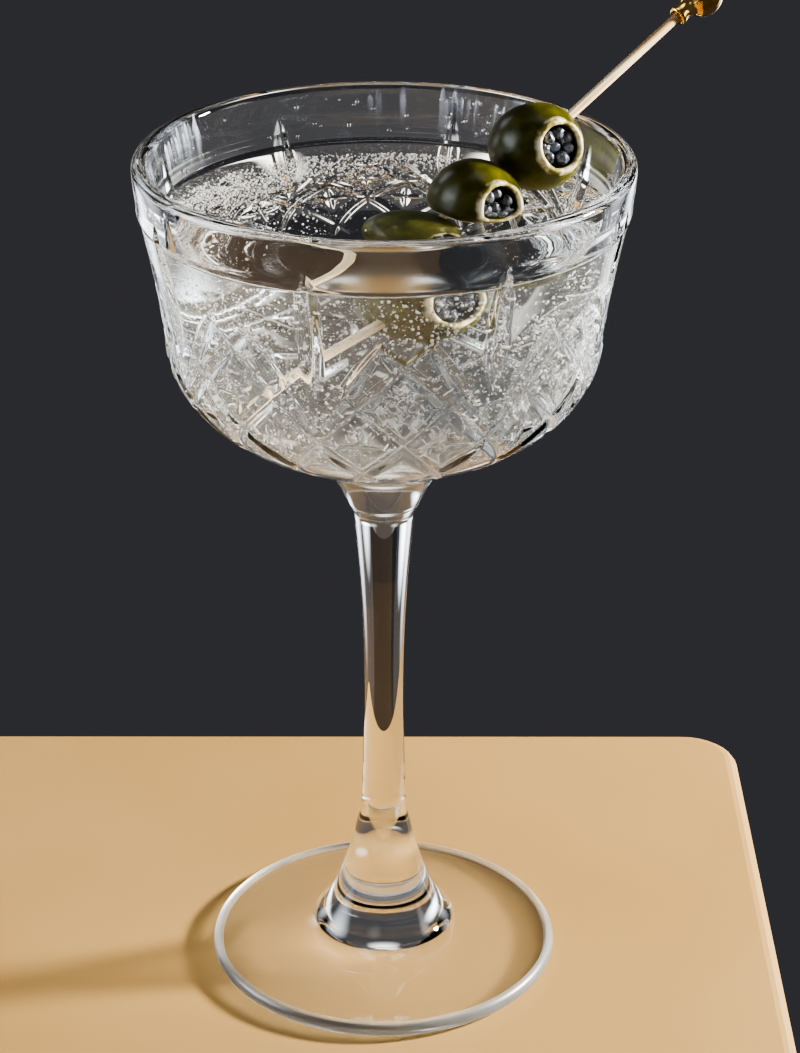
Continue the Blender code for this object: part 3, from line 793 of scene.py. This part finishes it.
def pattern_rings():
    """Rings of the cut side, from its foot up into the rim band, where the spears end."""
    cuts = slanted_cuts() + fan_cuts() + star_cuts()
    angle = FAN_ANGLE + np.arange(FINE) * math.tau / FINE
    rings = []
    height = PATTERN_FOOT
    while height < PATTERN_TOP:
        widening = outer_radius(height + SLOPE_STEP) - outer_radius(height - SLOPE_STEP)
        slope = widening / (2 * SLOPE_STEP)
        stretch = math.hypot(1.0, slope)
        radius = outer_radius(height)
        depth = cut_depth(angle, height, radius, stretch, cuts)
        rings.append(ring(radius - depth / stretch, height + depth * slope / stretch, FINE))
        height += FINE_ROW / stretch
    return rings


def foot():
    """(radius, height) points from the foot's hollow underside, over its edge and up its boss."""
    half = FOOT_EDGE / 2
    hollow_shares = np.linspace(0.0, 1.0, HOLLOW_ROWS + 1)[1:]
    under = [(FOOT_HOLLOW_RADIUS * s, FOOT_HOLLOW * (1 - s**FOOT_HOLLOW_POWER)) for s in hollow_shares]
    edge = arc((FOOT_RADIUS - half, half), half, -math.pi / 2, FOOT_EDGE_START, FOOT_EDGE_ROWS)
    radius, height = edge[-1]
    slope_shares = np.linspace(0.0, 1.0, FOOT_SLOPE_ROWS + 1)[1:-1]
    slope = [(between(radius, FOOT_SPREAD, s), between(height, FOOT_SPREAD_HEIGHT, s)) for s in slope_shares]
    boss = bezier(
        (FOOT_SPREAD, FOOT_SPREAD_HEIGHT),
        (FOOT_SPREAD - FOOT_SPREAD_PULL, FOOT_SPREAD_HEIGHT + FOOT_SPREAD_RISE),
        (BOSS_RADIUS + BOSS_FLARE, FOOT_HEIGHT - BOSS_PULL),
        (BOSS_RADIUS, FOOT_HEIGHT),
        BOSS_ROWS,
    )
    return under + edge + slope + boss


def stem():
    """(radius, height) points up the stem, from just above its foot."""
    points = []
    for curve, rows in ((LOWER_STEM, LOWER_STEM_ROWS), (UPPER_STEM, UPPER_STEM_ROWS)):
        knots = [(radius, between(FOOT_HEIGHT, COLLAR_HEIGHT, share)) for radius, share in curve]
        points += bezier(*knots, rows)[1:]
    return points


def collar():
    """(radius, height) points from the stem's top out to the bowl's round bottom, below the cuts."""
    spread_drop = BOTTOM_DEPTH * math.sqrt(1 - (COLLAR_SPREAD / WAIST_RADIUS) ** 2)
    spread_height = WAIST_HEIGHT - spread_drop
    slope = (BOTTOM_DEPTH / WAIST_RADIUS) ** 2 * COLLAR_SPREAD / spread_drop
    flare = bezier(
        (COLLAR_RADIUS, COLLAR_HEIGHT),
        (COLLAR_RADIUS + COLLAR_FLARE, COLLAR_HEIGHT + COLLAR_PULL),
        (COLLAR_SPREAD - COLLAR_PULL, spread_height - COLLAR_PULL * slope),
        (COLLAR_SPREAD, spread_height),
        COLLAR_ROWS,
    )
    first = math.asin(spread_drop / BOTTOM_DEPTH)
    last = math.asin((WAIST_HEIGHT - PATTERN_FOOT) / BOTTOM_DEPTH)
    turns = np.linspace(first, last, BOTTOM_ROWS + 1)[1:-1]
    bottom = [(WAIST_RADIUS * math.cos(t), WAIST_HEIGHT - BOTTOM_DEPTH * math.sin(t)) for t in turns]
    return flare + bottom


def rim():
    """(radius, height) points from the top of the cut side over the lip to the inside."""
    levels = np.linspace(PATTERN_TOP + FINE_ROW, LIP_HEIGHT, SWELL_ROWS + 1)
    lip = arc((RIM_RADIUS - LIP_RADIUS, LIP_HEIGHT), LIP_RADIUS, 0.0, math.pi, LIP_ROWS)
    return [(outer_radius(z), z) for z in levels] + lip[1:]


def inside():
    """(radius, height) points down the dry inside, then down the wetted inside to the floor."""
    dry_levels = np.linspace(LIP_HEIGHT, WET_TOP, DRY_ROWS + 1)[1:]
    wet_levels = np.linspace(WET_TOP, WAIST_HEIGHT, WET_ROWS + 1)[1:-1]
    dry = [(inner_radius(z), z) for z in dry_levels]
    wet = [(inner_radius(z), z) for z in wet_levels] + inner_bottom(FLOOR_ROWS)[::-1]
    return dry, wet


def add_glass(dry_glass, wet_glass, worn_highlight_glass):
    """Bowl, stem and foot fused into one piece of glass, worn and with a painted highlight round the foot's
    edge.
    """
    dry, wet = inside()
    rings = [pole(FOOT_HOLLOW)]
    rings += [ring(r, z, COARSE) for r, z in foot() + stem() + collar()]
    rings += pattern_rings()
    rings += [ring(r, z, COARSE) for r, z in rim() + dry]
    finishes = [DRY] * (len(rings) - 1)
    finishes[HOLLOW_ROWS:HOLLOW_ROWS + WORN_HIGHLIGHT_ROWS] = [WORN_HIGHLIGHT] * WORN_HIGHLIGHT_ROWS
    rings += [ring(r, z, COARSE) for r, z in wet]
    rings.append(pole(INNER_FLOOR))
    finishes += [WET] * (len(rings) - 1 - len(finishes))
    points, faces, marks = loft(rings, finishes)
    finish = [dry_glass, wet_glass, worn_highlight_glass]
    add_piece("glass_body", points, faces, "glass", finish, marks, ("bowl", "stem", "foot"))


# Drink


def add_drink(surface, side):
    """The drink, with a raised edge where it clings to the glass."""
    levels = np.linspace(WAIST_HEIGHT, WET_TOP, WET_ROWS + 1)[1:]
    wall = [(r - FILM, z + FILM) for r, z in inner_bottom(DRINK_FLOOR_ROWS)]
    wall += [(inner_radius(z) - FILM, z) for z in levels]
    rings = [pole(INNER_FLOOR + FILM)] + [ring(r, z, COARSE) for r, z in wall]
    finishes = [SIDE] * (len(rings) - 1)
    edge = wall[-1][0]
    for inset in np.geomspace(DRINK_FIRST_RING, edge - DRINK_LAST_RADIUS, DRINK_TOP_RINGS):
        rise = MENISCUS * math.exp(-inset / MENISCUS_REACH)
        rings.append(ring(edge - inset, DRINK_LEVEL + rise, COARSE))
    rings.append(pole(DRINK_LEVEL))
    finishes += [TOP] * (len(rings) - 1 - len(finishes))
    points, faces, marks = loft(rings, finishes)
    add_piece("drink_body", points, faces, "glass", [surface, side], marks, ("drink",))


# Pick, ball and olives


def pick_places():
    """The pick's tip, direction and length, from its CAD node and its olives' slide."""
    slide = next(j for j in frame["joints"] if j["name"] == "upper_olive_slide")
    direction = -Vector(slide["axis"]).normalized()
    points = node_points("pick")
    along = points @ np.array(direction)
    tip = points[along < along.min() + PICK_TIP].mean(axis=0)
    return Vector(tip), direction, float(along.max() - along.min())


def along_pick(place, direction):
    """The matrix of a piece that stands at a place with its own Z along the pick."""
    return Matrix.Translation(place) @ direction.to_track_quat("Z", "Y").to_matrix().to_4x4()


def add_pick(tip, direction, length, bamboo):
    """A bamboo skewer with a carved point and uneven, fibrous sides."""
    levels = [(share * PICK_RADIUS, z) for share, z in PICK_POINT]
    levels += [(PICK_RADIUS, z) for z in np.linspace(PICK_POINT_LENGTH, length, PICK_ROWS)]
    rings = [pole(-PICK_TIP)]
    angles = np.arange(PICK_SIDES) * math.tau / PICK_SIDES
    round_pick = [(PICK_WOBBLE_ROUND * math.cos(a), PICK_WOBBLE_ROUND * math.sin(a)) for a in angles]
    for radius, z in levels:
        wobble = [noise.noise(Vector((x, y, z * PICK_WOBBLE_ALONG))) for x, y in round_pick]
        rings.append(ring(radius * (1 + PICK_WOBBLE * np.array(wobble)), z, PICK_SIDES))
    rings.append(pole(length))
    points, faces, _ = loft(rings)
    place = along_pick(tip, direction)
    add_piece("bamboo_pick", points, faces, "pick", [bamboo], None, ("pick",), place)


def add_ball(tip, direction, gold):
    """A gold ball with faint dents and a flared neck that the pick's end goes into."""
    points = node_points("gold_bead")
    top = float((points @ np.array(direction)).max() - np.dot(tip, direction))
    profile = [(r * MM, z * MM) for r, z in BALL_NECK]
    profile += arc((0.0, 0.0), BALL_RADIUS, BALL_START, BALL_END, BALL_ROWS)
    rings = [pole(BALL_NECK_MIDDLE)]
    angles = np.arange(BALL_SIDES) * math.tau / BALL_SIDES
    for radius, z in profile:
        round_ball = [Vector((math.cos(a) * radius, math.sin(a) * radius, z)) for a in angles]
        dents = [noise.noise(point * DENT_SCALE) for point in round_ball]
        rings.append(ring(radius * (1 + DENT * np.array(dents)), z, BALL_SIDES))
    rings.append(pole(BALL_RADIUS))
    points, faces, _ = loft(rings)
    place = along_pick(tip + direction * (top - BALL_RADIUS), direction)
    add_piece("gold_ball", points, faces, "pick", [gold], None, ("gold_bead",), place)


def olive_place(name, tip, direction):
    """The matrix of an olive whose own Z points out of its mouth and whose own X runs along the pick."""
    along = node_points(f"olive_{name}") @ np.array(direction)
    station = (along.min() + along.max()) / 2 - np.dot(tip, direction)
    centre = tip + direction * station
    mouth = Vector(node_points(f"filling_{name}").mean(axis=0)) - centre
    mouth = (mouth - direction * mouth.dot(direction)).normalized()
    side = mouth.cross(direction)
    return Matrix.Translation(centre) @ Matrix((direction, side, mouth)).transposed().to_4x4()


def olive_point(place, seed):
    """A point of the even olive moved by its lumps, its torn and wavy lip and the dimples at the pick."""
    swell = OLIVE_SWELL * noise.noise(place * OLIVE_SWELL_SCALE + Vector((seed, 0, 0)))
    swell += OLIVE_LUMP * noise.noise(place * OLIVE_LUMP_SCALE + Vector((0, seed, 0)))
    place = place * (1 + swell)
    lip = math.exp(-(((place.z - MOUTH_HEIGHT) / LIP_BAND) ** 2))
    tear = noise.noise(Vector((place.x, place.y, LIP_TEAR_SHIFT * seed)) * LIP_TEAR_SCALE)
    wave = noise.noise(Vector((place.x, place.y, LIP_WAVE_SHIFT * seed)) * LIP_WAVE_SCALE)
    place.z += lip * (LIP_TEAR * tear + LIP_WAVE * wave)
    reach = math.hypot(place.y, place.z)
    place.x *= 1 - DIMPLE * math.exp(-((reach / DIMPLE_REACH) ** 2))
    return place


def olive_rings(seed):
    """Rings from the olive's closed end round to its cut mouth and into the hollow."""
    turns = np.linspace(OLIVE_START, math.asin(MOUTH_HEIGHT / OLIVE_HALF_LENGTH), OLIVE_ROWS)
    profile = [(OLIVE_RADIUS * math.cos(t), OLIVE_HALF_LENGTH * math.sin(t)) for t in turns]
    half_wall = MOUTH_WALL / 2
    profile += arc((CAVITY_RADIUS + half_wall, MOUTH_HEIGHT), half_wall, 0.0, math.pi, MOUTH_ROWS)[1:]
    depths = np.linspace(0.0, CAVITY_DEPTH, CAVITY_ROWS + 1)[1:]
    profile += [(CAVITY_RADIUS, MOUTH_HEIGHT - depth) for depth in depths]
    rings = [pole(-OLIVE_HALF_LENGTH)]
    rings += [ring(r, z, OLIVE_SIDES) for r, z in profile]
    rings.append(pole(CAVITY_FLOOR))
    return [np.array([olive_point(Vector(point), seed) for point in level]) for level in rings]


def add_olive(name, place, seed, skin):
    points, faces, _ = loft(olive_rings(seed))
    body = f"{name}_olive"
    add_piece(f"{name}_flesh", points, faces, body, [skin], None, (f"olive_{name}",), place)


def seed_places(seed):
    """The (x, y, height, radius) of a sunken seed and the uneven ring of seeds round it."""
    chance = np.random.default_rng(seed)
    places = [(0.0, 0.0, MIDDLE_SEED_HEIGHT, MIDDLE_SEED_RADIUS)]
    for k in range(SEEDS):
        angle = math.tau * (k + SEED_TURN_SPREAD * chance.uniform(-1, 1)) / SEEDS
        reach = SEED_RING + SEED_RING_SPREAD * chance.uniform(-1, 1)
        height = SEED_HEIGHT + SEED_HEIGHT_SPREAD * chance.uniform(-1, 1)
        size = SEED_RADIUS * (1 + SEED_RADIUS_SPREAD * chance.uniform(-1, 1))
        places.append((reach * math.cos(angle), reach * math.sin(angle), height, size))
    return places


def add_filling(name, place, seed, dark):
    """Lumpy seeds on a flat wet plug."""
    bm = bmesh.new()
    for x, y, z, size in seed_places(seed):
        made = bmesh.ops.create_icosphere(bm, subdivisions=SEED_FINENESS, radius=size)
        for vertex in made["verts"]:
            lump = noise.noise(vertex.co * SEED_LUMP_SCALE + Vector((x, y, seed)) * SEED_LUMP_SHIFT)
            vertex.co *= 1 + SEED_LUMP * lump
            vertex.co += Vector((x, y, z))
    plug = bmesh.ops.create_icosphere(bm, subdivisions=SEED_FINENESS, radius=1.0)
    for vertex in plug["verts"]:
        x, y, z = vertex.co
        vertex.co = (x * PLUG_RADIUS, y * PLUG_RADIUS, PLUG_HEIGHT + z * PLUG_HALF_HEIGHT)
    points, faces = take_shape(bm)
    body = f"{name}_olive"
    nodes = (f"filling_{name}",)
    add_piece(f"{name}_seeds", points, faces.tolist(), body, [dark], None, nodes, place)


# Bubbles


def bubble_shape(fineness):
    """Points and faces of a small round bubble of radius 1."""
    bm = bmesh.new()
    bmesh.ops.create_icosphere(bm, subdivisions=fineness, radius=1.0)
    return take_shape(bm)


def repeated(triangles, count, point_count):
    """The triangles of many copies of a shape, whose points follow one another."""
    starts = np.arange(count) * point_count
    return (triangles[None, :, :] + starts[:, None, None]).reshape(-1, 3).tolist()


def add_bubbles(name, places, sizes, film, fineness=2):
    """One piece made of many small bubbles, each with its own place and size."""
    shape, triangles = bubble_shape(fineness)
    points = (shape[None, :, :] * sizes[:, None, None] + np.array(places)[:, None, :]).reshape(-1, 3)
    add_piece(name, points, repeated(triangles, len(places), len(shape)), "glass", [film])


def surface_bubbles(film):
    """Fine bubbles that float on the drink, dense at its left and back."""
    chance = np.random.default_rng(3)
    places = []
    while len(places) < SURFACE_BUBBLES:
        angle = chance.uniform(0, math.tau)
        reach = SURFACE_REACH * math.sqrt(chance.uniform())
        x, y = reach * math.cos(angle), reach * math.sin(angle)
        left = SURFACE_LEFT_SHARE * max(0.0, -x / SURFACE_FADE)
        back = SURFACE_BACK_SHARE * max(0.0, y / SURFACE_FADE)
        clumped = noise.noise(Vector((x, y, 0.0)) * SURFACE_CLUMPS) > SURFACE_CLUMP_START
        density = (left + back) * between(SURFACE_THIN, 1.0, clumped)
        density *= min(1.0, (reach / SURFACE_RING) ** 3 + SURFACE_MIDDLE_SHARE)
        density *= min(1.0, max(0.0, (y - SURFACE_FRONT) / SURFACE_FRONT_FADE))
        beyond = reach > SURFACE_REACH - SURFACE_BACK_GAP * max(0.0, y / reach)
        if beyond or x > SURFACE_RIGHT or chance.uniform() > density:
            continue
        places.append((x, y, DRINK_LEVEL + SURFACE_RISE))
    sizes = chance.uniform(*SURFACE_SIZES, len(places))
    add_bubbles("surface_bubbles", places, sizes, film)


def wall_bubbles(film):
    """Larger bubbles that cling to the inside of the glass, dense at its front and left."""
    chance = np.random.default_rng(8)
    across, along = WALL_CLUMPS
    places = []
    while len(places) < WALL_BUBBLES:
        turn = math.radians(chance.uniform(*WALL_TURNS))
        height = chance.uniform(WALL_LOW, DRINK_LEVEL - BUBBLE_GAP)
        clump = noise.noise(Vector((across * turn, along * height, 0.0)))
        if chance.uniform() > CLUMP_MIDDLES["wall"] + CLUMP_SPREAD * clump:
            continue
        places.append(on_wall(inner_radius(height) - WALL_INSET, turn, height))
    sizes = chance.uniform(*WALL_SIZES, len(places))
    add_bubbles("wall_bubbles", places, sizes, film)


def fine_bubbles(film):
    """A haze of very small bubbles close to the wetted wall, thickest at its front and left."""
    chance = np.random.default_rng(21)
    across, along = FINE_CLUMPS
    places = []
    while len(places) < FINE_BUBBLES:
        turn = chance.uniform(-math.pi, math.pi)
        height = chance.uniform(FINE_LOW, DRINK_LEVEL - BUBBLE_GAP)
        share = between(FINE_LEAST, 1.0, (1 + math.cos(turn - FINE_THICKEST)) / 2)
        clump = noise.noise(Vector((across * math.sin(turn), across * math.cos(turn), along * height)))
        if chance.uniform() > share * (CLUMP_MIDDLES["fine"] + CLUMP_SPREAD * clump):
            continue
        places.append(on_wall(inner_radius(height) - chance.uniform(*FINE_INSETS), turn, height))
    sizes = chance.uniform(*FINE_SIZES, len(places))
    add_bubbles("fine_bubbles", places, sizes, film, fineness=1)


def add_wall_marks(name, marks, strengths, film):
    """One piece made of flat drops that follow the inside of the wall.

    Each has an angle round the glass, a height, and its half width, half thickness and half length.
    Its wetness has a strength at its top and fades to its sides and down its length.
    """
    shape, triangles = bubble_shape(fineness=3)
    wetness = (1 - shape[:, 0] ** 2) * ((shape[:, 2] + 1) / 2) ** STREAK_FADE
    points = []
    for turn, height, size in marks:
        for across, inward, along in shape * size:
            radius = inner_radius(height + along)
            points.append(on_wall(radius - inward, turn + across / radius, height + along))
    piece = add_piece(name, points, repeated(triangles, len(marks), len(shape)), "glass", [film])
    fade = piece.data.attributes.new("wetness", "FLOAT", "POINT")
    fade.data.foreach_set("value", np.outer(strengths, wetness).ravel())


def wall_drops(water):
    """Drops left on the dry inside of the wall, most of them at its back and left."""
    chance = np.random.default_rng(12)
    drops = []
    for middle, spread, count in DROP_GROUPS:
        for _ in range(count):
            half = chance.uniform(*DROP_SIZES)
            turn = math.radians(middle + spread * chance.normal(0, DROP_SCATTER))
            height = chance.uniform(WET_TOP + 2 * half, LIP_HEIGHT - 2 * half)
            drops.append((turn, height, (half, half / DROP_FLATNESS, half * chance.uniform(*DROP_LENGTHS))))
    add_wall_marks("wall_drops", drops, np.ones(len(drops)), water)


def wall_streaks(film):
    """Long streaks of drink that run down the dry inside of the wall from below the lip."""
    chance = np.random.default_rng(31)
    streaks = []
    for middle, spread, count in STREAK_GROUPS:
        for _ in range(count):
            half = chance.uniform(*STREAK_HALF_LENGTHS)
            top = LIP_HEIGHT - chance.uniform(*STREAK_DROPS)
            turn = math.radians(middle + spread * chance.uniform(-1, 1))
            size = (chance.uniform(*STREAK_HALF_WIDTHS), STREAK_FILM, half)
            streaks.append((turn, max(top - half, WET_TOP + half), size))
    strengths = chance.uniform(*STREAK_STRENGTHS, len(streaks))
    add_wall_marks("wall_streaks", streaks, strengths, film)


# Stage


def add_floor():
    """A pale slab with rounded edges that ends behind and to the right of the glass."""
    bm = bmesh.new()
    size = FLOOR_HIGH - FLOOR_LOW
    middle = (FLOOR_LOW + FLOOR_HIGH) / 2
    bmesh.ops.create_cube(bm, size=1.0, matrix=Matrix.Translation(middle) @ Matrix.Diagonal((*size, 1.0)))
    upright = [e for e in bm.edges if abs(e.verts[0].co.z - e.verts[1].co.z) > size.z / 2]
    rounding = {"affect": "EDGES", "profile": 0.5}
    bmesh.ops.bevel(bm, geom=upright, offset=FLOOR_CORNER, segments=FLOOR_CORNER_ROWS, **rounding)
    top = [e for e in bm.edges if all(v.co.z > middle.z for v in e.verts)]
    bmesh.ops.bevel(bm, geom=top, offset=FLOOR_BEVEL, segments=FLOOR_BEVEL_ROWS, **rounding)
    mesh = bpy.data.meshes.new("floor")
    bm.to_mesh(mesh)
    bm.free()
    mesh.materials.append(floor_material())
    floor = add_object("floor", mesh)


def aimed(place, target):
    """The matrix of a light that stands at a place and shines at a target."""
    turn = (Vector(target) - Vector(place)).to_track_quat("-Z", "Y")
    return Matrix.Translation(place) @ turn.to_matrix().to_4x4()


def add_lamp(name, place, target, size, power, colour):
    light = bpy.data.lights.new(name, "AREA")
    light.shape = "DISK"
    light.size = size
    light.energy = power
    light.color = colour
    add_object(name, light, aimed(place, target))


def softbox_material(name, size, colour, strength):
    """Light that is brightest in the middle of its sheet and fades to nothing at the edge."""
    material, tree, shader = new_material(name)
    tree.nodes.remove(shader)
    share = add_node(tree, "VectorMath", {0: own_place(tree), 1: (*size, 1.0)})
    share.operation = "DIVIDE"
    reach = add_node(tree, "VectorMath", {0: share.outputs["Vector"]})
    reach.operation = "LENGTH"
    fade = add_range(tree, reach.outputs["Value"], 0.0, strength, start=0.5, end=0.0, soft=True)
    glow = add_node(tree, "Emission", {"Color": rgba(colour), "Strength": fade})
    clear = add_node(tree, "BsdfTransparent", {})
    show(tree, add_node(tree, "AddShader", {0: glow.outputs[0], 1: clear.outputs[0]}))
    return material


def flag_material():
    """Dark cloth with a faint, even glow."""
    material, tree, shader = new_material("flag")
    wire(tree, shader, {
        "Base Color": (0.0, 0.0, 0.0, 1.0),
        "Specular IOR Level": 0.0,
        "Emission Color": (0.02, 0.021, 0.026, 1.0),
        "Emission Strength": 1.0,
    })
    return material


def add_sheet(name, place, target, size, material, fills=False):
    """A studio sheet seen in gloss and glass but not by the camera. One that fills lights matt things too."""
    mesh = bpy.data.meshes.new(name)
    half_width, half_height = size[0] / 2, size[1] / 2
    corners = [(x * half_width, y * half_height, 0.0) for x, y in ((-1, -1), (-1, 1), (1, 1), (1, -1))]
    mesh.from_pydata(corners, [], [(0, 1, 2, 3)])
    mesh.materials.append(material)
    sheet = add_object(name, mesh, aimed(place, target))
    sheet.visible_camera = False
    sheet.visible_diffuse = fills


def add_softbox(name, place, target, size, strength, colour, fills=False):
    """A glowing sheet with soft edges."""
    add_sheet(name, place, target, size, softbox_material(name, size, colour, strength), fills)


def add_pair(name, place, *settings):
    """Two softboxes that mirror each other to the left and the right of the glass."""
    x, y, z = place
    for side, way in (("left", -1), ("right", 1)):
        add_softbox(f"{name}_{side}", (way * x, y, z), *settings)


def add_backdrop():
    """A dark surround, a little lighter where it is seen through the glass."""
    world = bpy.data.worlds.new("backdrop")
    world.use_nodes = True
    tree = world.node_tree
    seen = tree.nodes["Background"]
    wire(tree, seen, {"Color": (0.04, 0.04, 0.046, 1.0)})
    around = add_node(tree, "Background", {"Color": (0.075, 0.075, 0.08, 1.0)})
    straight = add_node(tree, "LightPath", {}).outputs["Is Camera Ray"]
    show(tree, mix_shaders(tree, straight, around, seen), "World Output")
    bpy.context.scene.world = world


def add_lights():
    """A warm lamp, and cool panels whose reflections draw the edges of the glass."""
    bowl = (0.0, 0.0, 0.14)
    base = (0.0, 0.0, 0.0)
    add_lamp("key", (0.85, 0.18, 0.42), bowl, 0.12, 58.0, (1.0, 0.92, 0.8))
    add_softbox("left_window", (-0.7, 0.0, 0.3), bowl, (0.7, 0.8), 20.0, BLUE_SKY)
    add_softbox("right_window", (0.72, -0.12, 0.3), bowl, (0.35, 0.6), 6.0, (1.0, 0.97, 0.92))
    add_softbox("back_left", (-0.62, 0.5, 0.0), bowl, (0.4, 0.75), 5.0, WHITE_SKY)
    add_softbox("back_right", (0.66, 0.48, 0.0), bowl, (0.45, 0.75), 4.5, PALE_SKY)
    add_sheet("flag", (0.0, 0.5, -0.21), bowl, (0.42, 0.24), flag_material())
    add_pair("middle", (0.2, 0.746, -0.067), bowl, (0.2, 0.3), 0.8, (0.96, 0.97, 0.9))
    add_softbox("low_left", (-0.42, 0.62, -0.13), bowl, (0.3, 0.22), 8.0, BLUE_SKY)
    add_softbox("low_right", (0.42, 0.75, -0.1), bowl, (0.38, 0.3), 9.0, BLUE_SKY)
    add_softbox("high_left", (-0.5, 0.6, 0.42), base, (0.4, 0.4), 6.0, PALE_SKY)
    add_softbox("high_right", (0.62, 0.42, 0.36), base, (0.4, 0.4), 6.0, WHITE_SKY)
    add_pair("under", (0.085, 0.277, -0.225), bowl, (0.07, 0.14), 6.0, (1.0, 0.97, 0.9))
    add_softbox("top", (0.0, 0.15, 0.9), bowl, (0.7, 0.7), 4.0, (1.0, 0.98, 0.95), fills=True)
    add_softbox("front", (-0.35, -1.1, 0.75), bowl, (0.8, 0.6), 1.6, (1.0, 0.97, 0.94), fills=True)


def add_camera():
    """The photograph's camera, turned by its yaw, pitch and roll."""
    data = bpy.data.cameras.new("camera")
    data.sensor_fit = "HORIZONTAL"
    data.sensor_width = CAMERA_SENSOR
    data.lens = CAMERA_LENS
    place = Matrix.Translation(CAMERA_PLACE)
    for angle, axis in ((-CAMERA_YAW, "Z"), (math.pi / 2 - CAMERA_PITCH, "X"), (CAMERA_ROLL, "Z")):
        place @= Matrix.Rotation(angle, 4, axis)
    bpy.context.scene.camera = add_object("camera", data, place)


def build():
    add_glass(
        clear_material("clear_glass", GLASS_COLOUR, GLASS_INDEX, shade=(0.6, 0.08)),
        clear_material("wetted_glass", DRINK_COLOUR, GLASS_INDEX / DRINK_INDEX, frosted_and_shaded=True),
        worn_highlight_material(),
    )
    add_drink(clear_material("drink_surface", DRINK_COLOUR, DRINK_INDEX), haze_material())
    film = bubble_material()
    water = clear_material("water_drops", WATER_COLOUR, DRINK_INDEX)
    surface_bubbles(film)
    wall_bubbles(film)
    fine_bubbles(film)
    wall_drops(water)
    wall_streaks(streak_material())
    tip, direction, length = pick_places()
    add_pick(tip, direction, length, bamboo_material(length))
    add_ball(tip, direction, gold_material())
    skin = olive_material()
    dark = filling_material()
    for seed, name in enumerate(("upper", "middle", "lower"), start=1):
        place = olive_place(name, tip, direction)
        add_olive(name, place, seed, skin)
        add_filling(name, place, seed, dark)
    add_floor()
    add_lights()
    add_backdrop()
    add_camera()
    bpy.context.scene.view_settings.look = "AgX - Medium High Contrast"


build()
